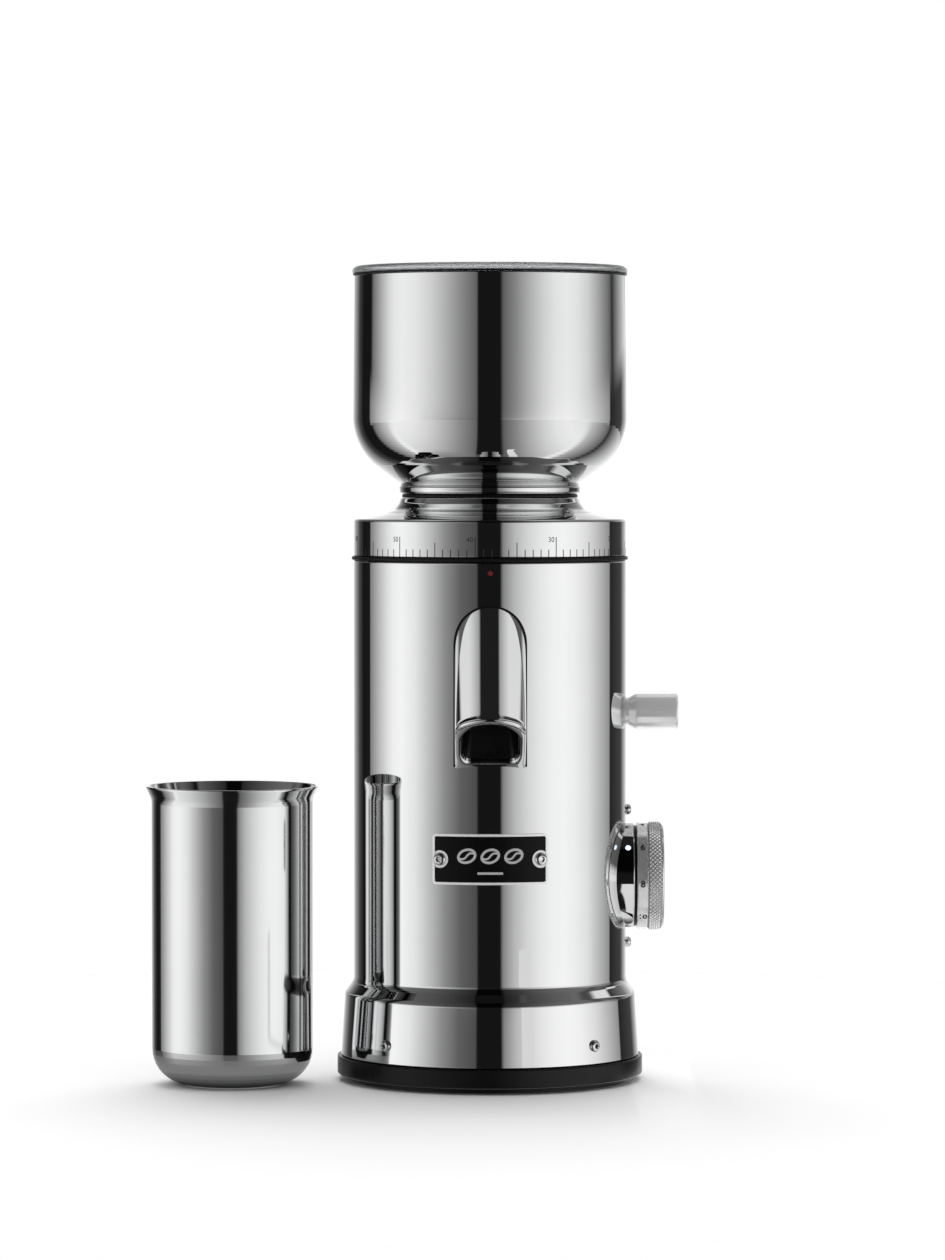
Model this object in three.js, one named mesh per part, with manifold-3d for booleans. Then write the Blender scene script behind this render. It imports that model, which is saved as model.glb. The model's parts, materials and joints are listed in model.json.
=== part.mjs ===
// Burr coffee grinder with bean hopper, grind dial, grounds spout, amount selector, start lever
// and a separate grounds cup. Millimetres, +Z up, the spout faces -Y, the knob and lever point
// to +X, and the origin is the centre of the underside of the foot.
import * as THREE from "three";
import { mergeVertices } from "three/addons/utils/BufferGeometryUtils.js";
import Module from "manifold-3d";

const wasm = await Module();
wasm.setup();

// ---- Driving dimensions ----

const FIT = 0.3; // clearance round a piece that sits in another
const STACK = 0.15; // clearance between pieces stacked on each other
const FINE = 32; // sides of a large turned piece
const INNER = 24; // sides of a large turned piece inside the shell
const SMALL = 12; // sides of a small turned piece

const FOOT_RADIUS = 56.5;
const FOOT_TOP = 2.0;
const BASE_RADIUS = 59.8;
const BASE_TOP = 9.5;
const BASE_BORE = 50.0;

const SHELL_RADIUS = 53.4;
const SHELL_WALL = 1.2;
const SHELL_BOTTOM = 9.8;
const SHELL_TOP = 203.0;
const SKIRT_FOOT_RADIUS = 58.4;
const SKIRT_NECK_RADIUS = 57.0;
const SKIRT_NECK = 32.4;
const SKIRT_TOP = 40.4;

const DIAL_BOTTOM = 205.1;
const DIAL_RADIUS = 53.3;
const DIAL_WALL_TOP = 219.4;
const DIAL_NECK_TOP = 227.7;
const THROAT_RADIUS = 24.0;

const HOPPER_BOTTOM = 229.3;
const HOPPER_RADIUS = 53.3;
const HOPPER_WALL = 1.2;
const HOPPER_TOP = 314.6;
const HOPPER_SHOULDER = 259.8;

const LID_BOTTOM = 315.5;
const LID_TOP = 318.4;
const LID_RADIUS = 54.0;

const SPOUT_HALF_WIDTH = 13.5;
const SPOUT_NOSE = 16.2; // depth of the half-ellipse nose of the spout's level section
const SPOUT_TOP = 186.3; // where the front ridge leaves the shell
const SPOUT_LEAN = 40.7 / 41.7; // forward travel of the ridge for each mm down
const SPOUT_REACH = 94.1; // from the grinder's axis to the lip of the mouth
const SPOUT_LIP = 144.6;
const MOUTH_REAR = 125.4;
const PASSAGE_FLOOR = 163.0; // sill of the window in the shell behind the spout

const PLATE_HEIGHT = 89.7;
const PLATE_TALL = 19.4;
const PLATE_HALF_ANGLE = 23.9;
const PLATE_BORDER = 0.9;
const PLATE_SCREW_ANGLE = 20.9;

const KNOB_HEIGHT = 79.5;
const KNOB_RADIUS = 20.8;
const KNOB_START = 57.4;
const KNOB_END = 67.9;
const KNURL_START = 61.7;
const KNURL_END = 67.3;
const LAMP_ELEVATION = 35.6;
const LAMP_REACH = 53.8;
const SELECTOR_SCREW_OFFSET = 26.0;

const LEVER_HEIGHT = 144.0;
const LEVER_RADIUS = 6.95;
const LEVER_END = 73.6;
const LEVER_PIVOT = 50.0; // from the grinder's axis to the pin

const SKIRT_SCREW_HEIGHT = 16.9;
const SKIRT_SCREW_ANGLE = 43.8;
const GLAND_HEIGHT = 24.0;

const CUP_X = -100.2;
const CUP_Y = -19.0;
const CUP_RADIUS = 31.4;
const CUP_LIP_RADIUS = 33.6;
const CUP_TOP = 116.0;
const CUP_WALL = 0.8;
const CUP_CORNER = 15.0;

const CHASSIS_BOTTOM = BASE_TOP + FIT;
const CHASSIS_TOP = 13.8;
const COLUMN_CIRCLE = 46.5;
const COLUMN_ANGLES = [50, 170, 305]; // from +X, anticlockwise seen from above
const GEAR_PLATE_BOTTOM = 112.0;
const GEAR_PLATE_TOP = 115.7;
const MOTOR_RADIUS = 26.0;
const MOTOR_BOTTOM = 47.0;
const GEAR_MODULE = 0.8;
const GEAR_TEETH = 44;
const PINION_TEETH = 12;
const GEAR_CENTRES = (GEAR_MODULE * (GEAR_TEETH + PINION_TEETH)) / 2;
const SHAFT_RADIUS = 4.0;
const CHAMBER_FLOOR = 164.0;
const CHAMBER_RADIUS = 40.0;
const CHAMBER_BORE = 37.0;
const BURR_RADIUS = 29.0;
const BURR_BORE = 14.0;
const LOWER_BURR_FACE = 184.0;
const BURR_GAP = 0.8;

// ---- Finishes ----

const FINISHES = {
  polished_steel: { color: 0xd6d8da, roughness: 0.07, metalness: 1 },
  machined_steel: { color: 0xaeb1b4, roughness: 0.32, metalness: 1 },
  zinc_plate: { color: 0xb9bdc0, roughness: 0.45, metalness: 1 },
  black_plastic: { color: 0x17181a, roughness: 0.42, metalness: 0 },
  black_rubber: { color: 0x0d0d0e, roughness: 0.85, metalness: 0 },
  smoked_plastic: { color: 0xc9cdd0, roughness: 0.12, metalness: 0 },
  nameplate_black: { color: 0x0c0c0d, roughness: 0.3, metalness: 0 },
  signal_red: { color: 0xc01f25, roughness: 0.4, metalness: 0 },
  lamp_white: { color: 0xdfeeff, roughness: 0.2, metalness: 0 },
  grey_plastic: { color: 0x6f7376, roughness: 0.5, metalness: 0 },
  circuit_board: { color: 0x1d5a36, roughness: 0.5, metalness: 0 },
  white_nylon: { color: 0xe4e1d8, roughness: 0.5, metalness: 0 },
};

// ---- Shapes ----

// A closed geometry as a solid that can be joined and cut.
function solid(geometry) {
  const bare = geometry.index ? geometry.toNonIndexed() : geometry.clone();
  bare.deleteAttribute("normal");
  bare.deleteAttribute("uv");
  const merged = mergeVertices(bare, 1e-4);
  const corners = merged.index.array;
  const faces = [];
  for (let i = 0; i < corners.length; i += 3) {
    const [a, b, c] = corners.slice(i, i + 3);
    if (a !== b && b !== c && c !== a) faces.push(a, b, c);
  }
  const made = closedMesh(merged, faces);
  if (made.volume() > 0) return made;
  for (let i = 0; i < faces.length; i += 3) {
    [faces[i + 1], faces[i + 2]] = [faces[i + 2], faces[i + 1]];
  }
  return closedMesh(merged, faces);
}

function closedMesh(merged, faces) {
  return new wasm.Manifold(
    new wasm.Mesh({
      numProp: 3,
      vertProperties: merged.attributes.position.array,
      triVerts: new Uint32Array(faces),
    }),
  );
}

// A solid turned about the Z axis from [radius, height] points; a profile that doesn't both
// start and end on the axis is closed on itself.
function turned(profile, sides = FINE) {
  const points = profile.map(([r, z]) => new THREE.Vector2(r, z));
  const last = profile.length - 1;
  if (profile[0][0] !== 0 || profile[last][0] !== 0) points.push(points[0].clone());
  return new THREE.LatheGeometry(points, sides).rotateX(Math.PI / 2);
}

function disc(radius, bottom, top, sides = SMALL) {
  return turned([[0, bottom], [radius, bottom], [radius, top], [0, top]], sides);
}

function ring(inner, outer, bottom, top, sides = FINE) {
  return turned([[inner, bottom], [outer, bottom], [outer, top], [inner, top]], sides);
}

function box([x0, x1], [y0, y1], [z0, z1]) {
  const geometry = new THREE.BoxGeometry(x1 - x0, y1 - y0, z1 - z0);
  return geometry.translate((x0 + x1) / 2, (y0 + y1) / 2, (z0 + z1) / 2);
}

// A level outline of [x, y] points raised from one height to another.
function raised(outline, bottom, top) {
  const shape = new THREE.Shape(outline.map(([x, y]) => new THREE.Vector2(x, y)));
  const geometry = new THREE.ExtrudeGeometry(shape, { depth: top - bottom, bevelEnabled: false });
  return geometry.translate(0, 0, bottom);
}

// An outline of [y, z] points seen from the side, as thick as from one x to another.
function upright(outline, from, to) {
  return raised(outline, from, to).rotateX(Math.PI / 2).rotateZ(Math.PI / 2);
}

// Turns a piece built along +Z so that it points along +X, at a height.
function alongX(geometry, height) {
  return geometry.rotateY(Math.PI / 2).translate(0, 0, height);
}

// Turns a piece built along +Z so that it points out of the shell, at an angle from the front
// (positive towards +X) and a height.
function outward(geometry, degrees, height) {
  geometry.rotateX(Math.PI / 2).rotateZ(THREE.MathUtils.degToRad(degrees));
  return geometry.translate(0, 0, height);
}

function cut(body, ...tools) {
  return tools.reduce((rest, tool) => rest.subtract(tool), body);
}

function joined(...pieces) {
  return pieces.reduce((whole, piece) => whole.add(piece));
}

function arc(centreX, centreY, radius, from, to, steps) {
  const points = [];
  for (let i = 0; i <= steps; i += 1) {
    const angle = THREE.MathUtils.degToRad(from + ((to - from) * i) / steps);
    points.push([centreX + radius * Math.cos(angle), centreY + radius * Math.sin(angle)]);
  }
  return points;
}

function hexagon(acrossFlats) {
  return arc(0, 0, acrossFlats / Math.sqrt(3), 0, 300, 5);
}

// A sector of the level plane that opens towards the front.
function frontSector(halfDegrees, bottom, top) {
  const half = THREE.MathUtils.degToRad(halfDegrees);
  const reach = 80;
  const side = reach * Math.tan(half);
  return raised([[0, 0], [-side, -reach], [side, -reach]], bottom, top);
}

// ---- Scene graph ----

const grinder = new THREE.Group();
grinder.name = "burr_coffee_grinder";

function assembly(name) {
  const group = new THREE.Group();
  group.name = name;
  grinder.add(group);
  return group;
}

function addPiece(group, name, body, finish) {
  const made = body.getMesh();
  const geometry = new THREE.BufferGeometry();
  geometry.setAttribute("position", new THREE.BufferAttribute(made.vertProperties, 3));
  geometry.setIndex(new THREE.BufferAttribute(made.triVerts, 1));
  geometry.computeVertexNormals();
  const mesh = new THREE.Mesh(geometry, new THREE.MeshStandardMaterial(FINISHES[finish]));
  mesh.name = name;
  group.add(mesh);
}

// ---- Base: foot, plastic ring, cover, chassis ----

const base = assembly("base");

addPiece(
  base,
  "foot_pad",
  solid(turned([[0, 0], [FOOT_RADIUS - 0.6, 0], [FOOT_RADIUS, 0.6], [FOOT_RADIUS, FOOT_TOP], [0, FOOT_TOP]])),
  "black_rubber",
);

const baseBottom = FOOT_TOP + STACK;
addPiece(
  base,
  "base_ring",
  solid(
    turned([
      [BASE_BORE, baseBottom],
      [BASE_RADIUS - 0.8, baseBottom],
      [BASE_RADIUS, baseBottom + 0.8],
      [BASE_RADIUS, BASE_TOP - 0.9],
      [BASE_RADIUS - 0.9, BASE_TOP],
      [BASE_BORE, BASE_TOP],
    ]),
  ),
  "black_plastic",
);

const coverRibs = [0, 60, 120].map((degrees) =>
  solid(box([-44, 44], [-1, 1], [4.5, 8]).rotateZ(THREE.MathUtils.degToRad(degrees))),
);
addPiece(
  base,
  "bottom_cover",
  joined(solid(disc(BASE_BORE - FIT, baseBottom, 5, 36)), ...coverRibs),
  "black_plastic",
);

const skirtScrewAngles = [-1, 1].flatMap((side) => [
  side * SKIRT_SCREW_ANGLE,
  side * (180 - SKIRT_SCREW_ANGLE),
]);
const skirtScrewHoles = (radius) =>
  skirtScrewAngles.map((angle) => solid(outward(disc(radius, 48, 62, 8), angle, SKIRT_SCREW_HEIGHT)));

const columnPlaces = COLUMN_ANGLES.map((degrees) => {
  const angle = THREE.MathUtils.degToRad(degrees);
  return [COLUMN_CIRCLE * Math.cos(angle), COLUMN_CIRCLE * Math.sin(angle)];
});

const chassis = solid(
  turned([
    [0, CHASSIS_BOTTOM],
    [55.4, CHASSIS_BOTTOM],
    [55.4, 22],
    [53.8, 22],
    [53.8, CHASSIS_TOP],
    [0, CHASSIS_TOP],
  ], INNER),
);
const glandNotch = solid(box([-9, 9], [50, 60], [CHASSIS_TOP + 0.1, 30]));
addPiece(base, "chassis_plate", cut(chassis, glandNotch, ...skirtScrewHoles(1.5)), "zinc_plate");

// ---- Shell ----

const shellInner = SHELL_RADIUS - SHELL_WALL;
const shellOuterLine = [
  [SKIRT_FOOT_RADIUS, SHELL_BOTTOM],
  [SKIRT_NECK_RADIUS, SKIRT_NECK],
  [SKIRT_NECK_RADIUS - 0.9, SKIRT_NECK + 2.6],
  [SHELL_RADIUS + 0.9, SKIRT_TOP - 2.6],
  [SHELL_RADIUS, SKIRT_TOP],
  [SHELL_RADIUS, SHELL_TOP],
];
const shellInnerLine = shellOuterLine
  .slice(0, -1)
  .reverse()
  .map(([r, z]) => [r - SHELL_WALL, z]);
const shell = solid(
  turned([
    ...shellOuterLine,
    [48, SHELL_TOP],
    [48, SHELL_TOP - SHELL_WALL],
    [shellInner, SHELL_TOP - SHELL_WALL],
    ...shellInnerLine,
  ]),
);

// Level section of the spout, nose towards the front, at the height where its ridge starts.
function spoutSection(halfWidth, nose, tip, back) {
  const half = arc(0, 0, 1, 0, -180, 10).map(([x, y]) => [x * halfWidth, y * nose - tip + nose]);
  return [...half, [-halfWidth, back], [halfWidth, back]];
}

// The leaning prism that the section makes: its ridge moves forward as it goes down.
function leaning(section) {
  const lean = new THREE.Matrix4().set(
    1, 0, 0, 0,
    0, 1, SPOUT_LEAN, -SPOUT_LEAN * SPOUT_TOP,
    0, 0, 1, 0,
    0, 0, 0, 1,
  );
  return solid(raised(section, 118, 192).applyMatrix4(lean));
}

// Everything below the sloping plane of the mouth, lowered by a margin.
function belowMouth(margin) {
  const slope = (SPOUT_LIP - MOUTH_REAR) / (SPOUT_REACH - SHELL_RADIUS);
  const height = (reach) => MOUTH_REAR + (reach - SHELL_RADIUS) * slope - margin;
  const outline = [[-30, height(30)], [-30, 90], [-130, 90], [-130, height(130)]];
  return solid(upright(outline, -20, 20));
}

const passage = leaning(spoutSection(10.8, 15, SHELL_RADIUS - 3.8, 40));
const passageBehind = solid(box([-12, 12], [-70, -44], [PASSAGE_FLOOR, 190]));
const passageAhead = solid(box([-12, 12], [-110, -SHELL_RADIUS - 3.3], [110, 190]));
const grindsWay = passage.intersect(joined(passageBehind, passageAhead));

const knobWindow = solid(alongX(disc(4.8, 45, 60, 12), KNOB_HEIGHT));
const leverWindow = solid(alongX(disc(4.4, 45, 60), LEVER_HEIGHT));
const selectorScrewHoles = [-1, 1].map((side) =>
  solid(alongX(disc(1.5, 45, 60, 8), KNOB_HEIGHT + side * SELECTOR_SCREW_OFFSET)),
);
const plateScrewHoles = (radius) =>
  [-1, 1].map((side) =>
    solid(outward(disc(radius, 45, 60, 8), side * PLATE_SCREW_ANGLE, PLATE_HEIGHT)),
  );
const glandHole = solid(outward(disc(5.3, 45, 65, 16), 180, GLAND_HEIGHT));

const body = assembly("body");
addPiece(
  body,
  "housing",
  cut(
    shell,
    passage.intersect(passageBehind),
    knobWindow,
    leverWindow,
    glandHole,
    ...selectorScrewHoles,
    ...plateScrewHoles(1.4),
    ...skirtScrewHoles(1.6),
  ),
  "polished_steel",
);

addPiece(
  body,
  "dial_seal",
  solid(ring(48.5, SHELL_RADIUS + 0.7, SHELL_TOP + STACK, DIAL_BOTTOM - STACK)),
  "black_rubber",
);

addPiece(
  body,
  "index_dot",
  solid(outward(disc(1, SHELL_RADIUS + 0.1, SHELL_RADIUS + 0.5, 16), 0, 199.2)),
  "signal_red",
);

// ---- Spout ----

const spoutOuter = leaning(spoutSection(SPOUT_HALF_WIDTH, SPOUT_NOSE, SHELL_RADIUS, 40));
const clearOfShell = (radius) => solid(disc(radius, 50, 200, 72));
addPiece(
  body,
  "spout",
  cut(spoutOuter, belowMouth(0), clearOfShell(SHELL_RADIUS + 0.15), grindsWay),
  "polished_steel",
);

const gasketOuter = leaning(
  spoutSection(SPOUT_HALF_WIDTH + 0.7, SPOUT_NOSE + 0.7, SHELL_RADIUS + 0.7, 40),
).subtract(belowMouth(0.8));
const gasketInner = leaning(
  spoutSection(SPOUT_HALF_WIDTH + 0.1, SPOUT_NOSE + 0.1, SHELL_RADIUS + 0.1, 40),
).subtract(belowMouth(0.1));
addPiece(
  body,
  "spout_gasket",
  solid(ring(SHELL_RADIUS + 0.15, SHELL_RADIUS + 0.7, 100, 200, 72))
    .intersect(gasketOuter)
    .intersect(solid(box([-20, 20], [-70, -20], [100, 200])))
    .subtract(gasketInner),
  "black_rubber",
);

// ---- Nameplate ----

const plateBottom = PLATE_HEIGHT - PLATE_TALL / 2;
const plateTop = PLATE_HEIGHT + PLATE_TALL / 2;
const borderAngle = THREE.MathUtils.radToDeg(PLATE_BORDER / SHELL_RADIUS);
const plateBlank = (inner, outer, inset) =>
  solid(ring(inner, outer, plateBottom + inset, plateTop - inset, 72)).intersect(
    solid(
      frontSector(
        PLATE_HALF_ANGLE - (inset / PLATE_BORDER) * borderAngle,
        plateBottom - 1,
        plateTop + 1,
      ),
    ),
  );
const screwEyes = (radius, inner, outer) =>
  [-1, 1].map((side) =>
    solid(outward(disc(radius, inner, outer), side * PLATE_SCREW_ANGLE, PLATE_HEIGHT)),
  );
const plateField = cut(
  plateBlank(SHELL_RADIUS + 0.15, SHELL_RADIUS + 0.8, PLATE_BORDER + 0.1),
  ...screwEyes(3.5, 45, 60),
);
const plateRim = plateBlank(SHELL_RADIUS + 0.15, SHELL_RADIUS + 1.2, 0).subtract(
  cut(
    plateBlank(SHELL_RADIUS - 1, SHELL_RADIUS + 3, PLATE_BORDER),
    ...screwEyes(3.4, 45, 60),
  ),
);
addPiece(body, "nameplate_frame", cut(plateRim, ...plateScrewHoles(1.5)), "polished_steel");
addPiece(body, "nameplate_field", plateField, "nameplate_black");

// ---- Screws ----

// A button-head socket screw along +Z: the head stands on the level `seat`.
function socketScrew(seat, headRadius, headHeight, shankRadius, shankLength) {
  const head = turned(
    [
      [0, seat - shankLength],
      [shankRadius, seat - shankLength],
      [shankRadius, seat],
      [headRadius, seat],
      [headRadius, seat + headHeight * 0.35],
      [headRadius * 0.7, seat + headHeight],
      [0, seat + headHeight],
    ],
    10,
  );
  const socket = raised(hexagon(headRadius * 0.85), seat + headHeight * 0.35, seat + headHeight + 1);
  return { head, socket };
}

function addScrew(name, screw, placed) {
  const made = solid(placed(screw.head)).subtract(solid(placed(screw.socket)));
  addPiece(body, name, made, "polished_steel");
}

["left", "right"].forEach((word, i) => {
  const angle = (i * 2 - 1) * PLATE_SCREW_ANGLE;
  addScrew(`nameplate_screw_${word}`, socketScrew(SHELL_RADIUS + 1.35, 2.55, 1.4, 1.2, 6), (g) =>
    outward(g, angle, PLATE_HEIGHT),
  );
});
["lower", "upper"].forEach((word, i) => {
  const height = KNOB_HEIGHT + (i * 2 - 1) * SELECTOR_SCREW_OFFSET;
  addScrew(`selector_screw_${word}`, socketScrew(SHELL_RADIUS + 0.15, 2.15, 2, 1.2, 6), (g) =>
    alongX(g, height),
  );
});
skirtScrewAngles.forEach((angle, i) => {
  addScrew(`skirt_screw_${i + 1}`, socketScrew(58.35, 2.35, 1.3, 1.2, 6.5), (g) =>
    outward(g, angle, SKIRT_SCREW_HEIGHT),
  );
});

// ---- Mains lead inlet ----

const gland = turned([
  [3.4, 53.2],
  [7, 53.2],
  [7, 55.3],
  [4.9, 55.3],
  [4.9, 58.5],
  [7, 58.5],
  [7, 60],
  [6, 62],
  [5, 70],
  [3.4, 70],
], 16);
addPiece(body, "cord_gland", solid(outward(gland, 180, GLAND_HEIGHT)), "black_rubber");

// ---- Amount selector ----

const bezelBlank = solid(alongX(disc(KNOB_RADIUS, 48, KNOB_START - 1, 40), KNOB_HEIGHT));
const lampAngle = THREE.MathUtils.degToRad(LAMP_ELEVATION);
const radialFromKnob = (geometry) =>
  solid(
    geometry
      .rotateX(Math.PI / 2 - lampAngle)
      .translate(LAMP_REACH, 0, KNOB_HEIGHT),
  );
addPiece(
  body,
  "selector_bezel",
  cut(
    bezelBlank,
    clearOfShell(SHELL_RADIUS + 0.15),
    solid(alongX(disc(4.8, 40, 60), KNOB_HEIGHT)),
    radialFromKnob(disc(1.4, 17, 24, 16)),
  ),
  "polished_steel",
);
addPiece(body, "selector_lamp", radialFromKnob(disc(1.1, 17.4, 21.1, 16)), "lamp_white");
addPiece(
  body,
  "selector_gap_ring",
  solid(alongX(ring(6, KNOB_RADIUS - 1, KNOB_START - 0.85, KNOB_START - 0.2), KNOB_HEIGHT)),
  "black_plastic",
);
addPiece(
  body,
  "selector_potentiometer",
  solid(
    alongX(
      turned([
        [0, 33],
        [9, 33],
        [9, 46.5],
        [4.3, 46.5],
        [4.3, 56.3],
        [3.3, 56.3],
        [3.3, 36],
        [0, 36],
      ], 20),
      KNOB_HEIGHT,
    ),
  ),
  "grey_plastic",
);

const selector = assembly("selector");
const knobTurning = turned(
  [
    [3.3, KNOB_START],
    [KNOB_RADIUS, KNOB_START],
    [KNOB_RADIUS, KNURL_START],
    [KNOB_RADIUS - 0.7, KNURL_START + 0.3],
    [KNOB_RADIUS - 0.7, KNURL_END - 0.2],
    [KNOB_RADIUS - 1.3, KNOB_END],
    [0, KNOB_END],
    [0, KNOB_START + 7],
    [3.3, KNOB_START + 7],
  ],
  40,
);
const knurlTeeth = 40;
const knurlOutline = Array.from({ length: 2 * knurlTeeth }, (_, i) => {
  const radius = i % 2 ? KNOB_RADIUS - 0.65 : KNOB_RADIUS;
  const angle = (Math.PI * i) / knurlTeeth;
  return [radius * Math.cos(angle), radius * Math.sin(angle)];
});
addPiece(
  selector,
  "selector_knob",
  joined(
    solid(alongX(knobTurning, KNOB_HEIGHT)),
    solid(alongX(raised(knurlOutline, KNURL_START + 0.1, KNURL_END), KNOB_HEIGHT)).subtract(
      solid(alongX(disc(KNOB_RADIUS - 4, 50, 70, 24), KNOB_HEIGHT)),
    ),
  ),
  "polished_steel",
);
addPiece(selector, "selector_shaft", solid(alongX(disc(3, 36.4, 64, 16), KNOB_HEIGHT)), "machined_steel");

// ---- Start lever ----

const lever = assembly("lever");
const leverTurning = turned(
  [
    [0, 43.4],
    [2.9, 43.4],
    [3.4, 44.2],
    [3.4, 54.2],
    [5.4, 54.2],
    [LEVER_RADIUS, 57.3],
    [LEVER_RADIUS, LEVER_END - 0.5],
    [LEVER_RADIUS - 0.5, LEVER_END],
    [0, LEVER_END],
  ],
  24,
);
const acrossPivot = (radius, half) =>
  solid(
    disc(radius, -half, half, 16)
      .rotateX(Math.PI / 2)
      .translate(LEVER_PIVOT, 0, LEVER_HEIGHT),
  );
addPiece(
  lever,
  "lever_handle",
  solid(alongX(leverTurning, LEVER_HEIGHT)).subtract(acrossPivot(1.5, 10)),
  "polished_steel",
);
addPiece(body, "lever_pin", acrossPivot(1.2, 7.8), "machined_steel");
const bracketHeights = [LEVER_HEIGHT - 6, LEVER_HEIGHT + 6];
addPiece(
  body,
  "lever_bracket",
  cut(
    solid(box([40.8, 51], [-8, 8], bracketHeights)),
    solid(box([42.3, 52], [-6, 6], [LEVER_HEIGHT - 7, LEVER_HEIGHT + 7])),
    solid(alongX(disc(2, 40, 43), LEVER_HEIGHT)),
    acrossPivot(1.4, 10),
  ),
  "zinc_plate",
);
addPiece(
  body,
  "lever_switch",
  solid(box([31, 40.5], [-6, 6], [LEVER_HEIGHT - 9, LEVER_HEIGHT + 9])),
  "grey_plastic",
);

// ---- Frame inside the shell: columns, gear plate, grinding chamber ----

const columnHoles = (radius, low, high) =>
  columnPlaces.map(([x, y]) => solid(disc(radius, low, high, 10).translate(x, y, 0)));

columnPlaces.forEach(([x, y], i) => {
  const column = turned(
    [
      [0, CHASSIS_TOP + STACK],
      [4.5, CHASSIS_TOP + STACK],
      [4.5, GEAR_PLATE_BOTTOM - STACK],
      [3.5, GEAR_PLATE_BOTTOM - STACK],
      [3.5, 159.85],
      [1.9, 159.85],
      [1.9, 168.5],
      [0, 168.5],
    ],
    10,
  ).translate(x, y, 0);
  addPiece(body, `column_${i + 1}`, solid(column), "zinc_plate");
  const nut = solid(raised(hexagon(6.4), CHAMBER_FLOOR + STACK, 167.4).translate(x, y, 0));
  const thread = solid(disc(2.1, 160, 170, 10).translate(x, y, 0));
  addPiece(body, `column_nut_${i + 1}`, nut.subtract(thread), "machined_steel");
});

addPiece(
  body,
  "gear_plate",
  cut(
    solid(
      turned([
        [4.7, GEAR_PLATE_BOTTOM],
        [50.6, GEAR_PLATE_BOTTOM],
        [50.6, GEAR_PLATE_TOP],
        [12, GEAR_PLATE_TOP],
        [12, 120],
        [9.8, 120],
        [9.8, 113.6],
        [4.7, 113.6],
      ], INNER),
    ),
    solid(disc(5.2, 100, 130).translate(0, GEAR_CENTRES, 0)),
    ...columnHoles(4.1, 100, 130),
  ),
  "zinc_plate",
);
addPiece(body, "lower_bearing", solid(ring(4.1, 9.5, 113.8, 119.8, 24)), "machined_steel");

// Walls of the box over the gears: two overlapping cups, one over each wheel.
const gearCup = (radius, top) =>
  joined(
    solid(disc(radius, GEAR_PLATE_TOP + STACK, top, 28)),
    solid(disc(radius - 11, GEAR_PLATE_TOP + STACK, top, 20).translate(0, GEAR_CENTRES, 0)),
  );
addPiece(
  body,
  "gear_cover",
  cut(
    gearCup(21, 134),
    gearCup(19.5, 132.5),
    solid(disc(5, 120, 140)),
    solid(disc(20, 110, 118)),
  ),
  "white_nylon",
);

const chamberShell = turned([
  [4.7, 150],
  [14, 150],
  [14, 160],
  [50.6, 160],
  [50.6, CHAMBER_FLOOR],
  [CHAMBER_RADIUS, CHAMBER_FLOOR],
  [CHAMBER_RADIUS, 202],
  [CHAMBER_BORE, 202],
  [CHAMBER_BORE, CHAMBER_FLOOR],
  [4.7, CHAMBER_FLOOR],
], INNER);
const ductOuter = solid(box([-10.5, 10.5], [-50.5, -38], [CHAMBER_FLOOR - 1, 179.5]));
const ductInner = solid(box([-9, 9], [-60, -34], [CHAMBER_FLOOR, 178]));
addPiece(
  body,
  "burr_chamber",
  cut(
    joined(solid(chamberShell), ductOuter),
    ductInner,
    solid(disc(11.2, 148, 157.6, 24)),
    ...columnHoles(2.3, 150, 180),
  ),
  "zinc_plate",
);
addPiece(body, "upper_bearing", solid(ring(4.1, 11, 150.3, 157.3, 24)), "machined_steel");

// ---- Control board ----

const board = solid(box([-31, 31], [-31.6, -30], [CHASSIS_TOP + FIT, 106]));
const boardParts = [
  box([-26, -4], [-30.2, -12], [20, 44]),
  box([6, 24], [-30.2, -15], [22, 38]),
  box([-26, -12], [-30.2, -20], [56, 70]),
  disc(6, 0, 14, 24).rotateX(-Math.PI / 2).translate(14, -30.2, 54),
  disc(4, 0, 12, 16).rotateX(-Math.PI / 2).translate(0, -30.2, 62),
  box([-20, 20], [-30.2, -27], [84, 92]),
].map(solid);
addPiece(body, "control_board", joined(board, ...boardParts), "circuit_board");

// ---- Motor ----

const motorCan = turned(
  [
    [MOTOR_RADIUS - 1.6, MOTOR_BOTTOM],
    [MOTOR_RADIUS, MOTOR_BOTTOM],
    [MOTOR_RADIUS, 111.7],
    [5, 111.7],
    [5, 110],
    [MOTOR_RADIUS - 1.6, 110],
  ],
  28,
).translate(0, GEAR_CENTRES, 0);
addPiece(body, "motor_can", solid(motorCan), "zinc_plate");

const motorEndBell = turned(
  [
    [3, 43.5],
    [8, 43.5],
    [8, 47.3],
    [MOTOR_RADIUS - 1.8, 47.3],
    [MOTOR_RADIUS - 1.8, 51],
    [3, 51],
  ],
  28,
).translate(0, GEAR_CENTRES, 0);
addPiece(body, "motor_end_bell", solid(motorEndBell), "black_plastic");

const rotor = assembly("motor_rotor_set");
const motorRotor = turned(
  [
    [0, 42],
    [2.2, 42],
    [2.2, 52],
    [7, 52],
    [7, 60],
    [18, 60],
    [18, 100],
    [2.2, 100],
    [2.2, 130.5],
    [0, 130.5],
  ],
  20,
).translate(0, GEAR_CENTRES, 0);
addPiece(rotor, "motor_rotor", solid(motorRotor), "machined_steel");

// ---- Gears ----

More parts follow.
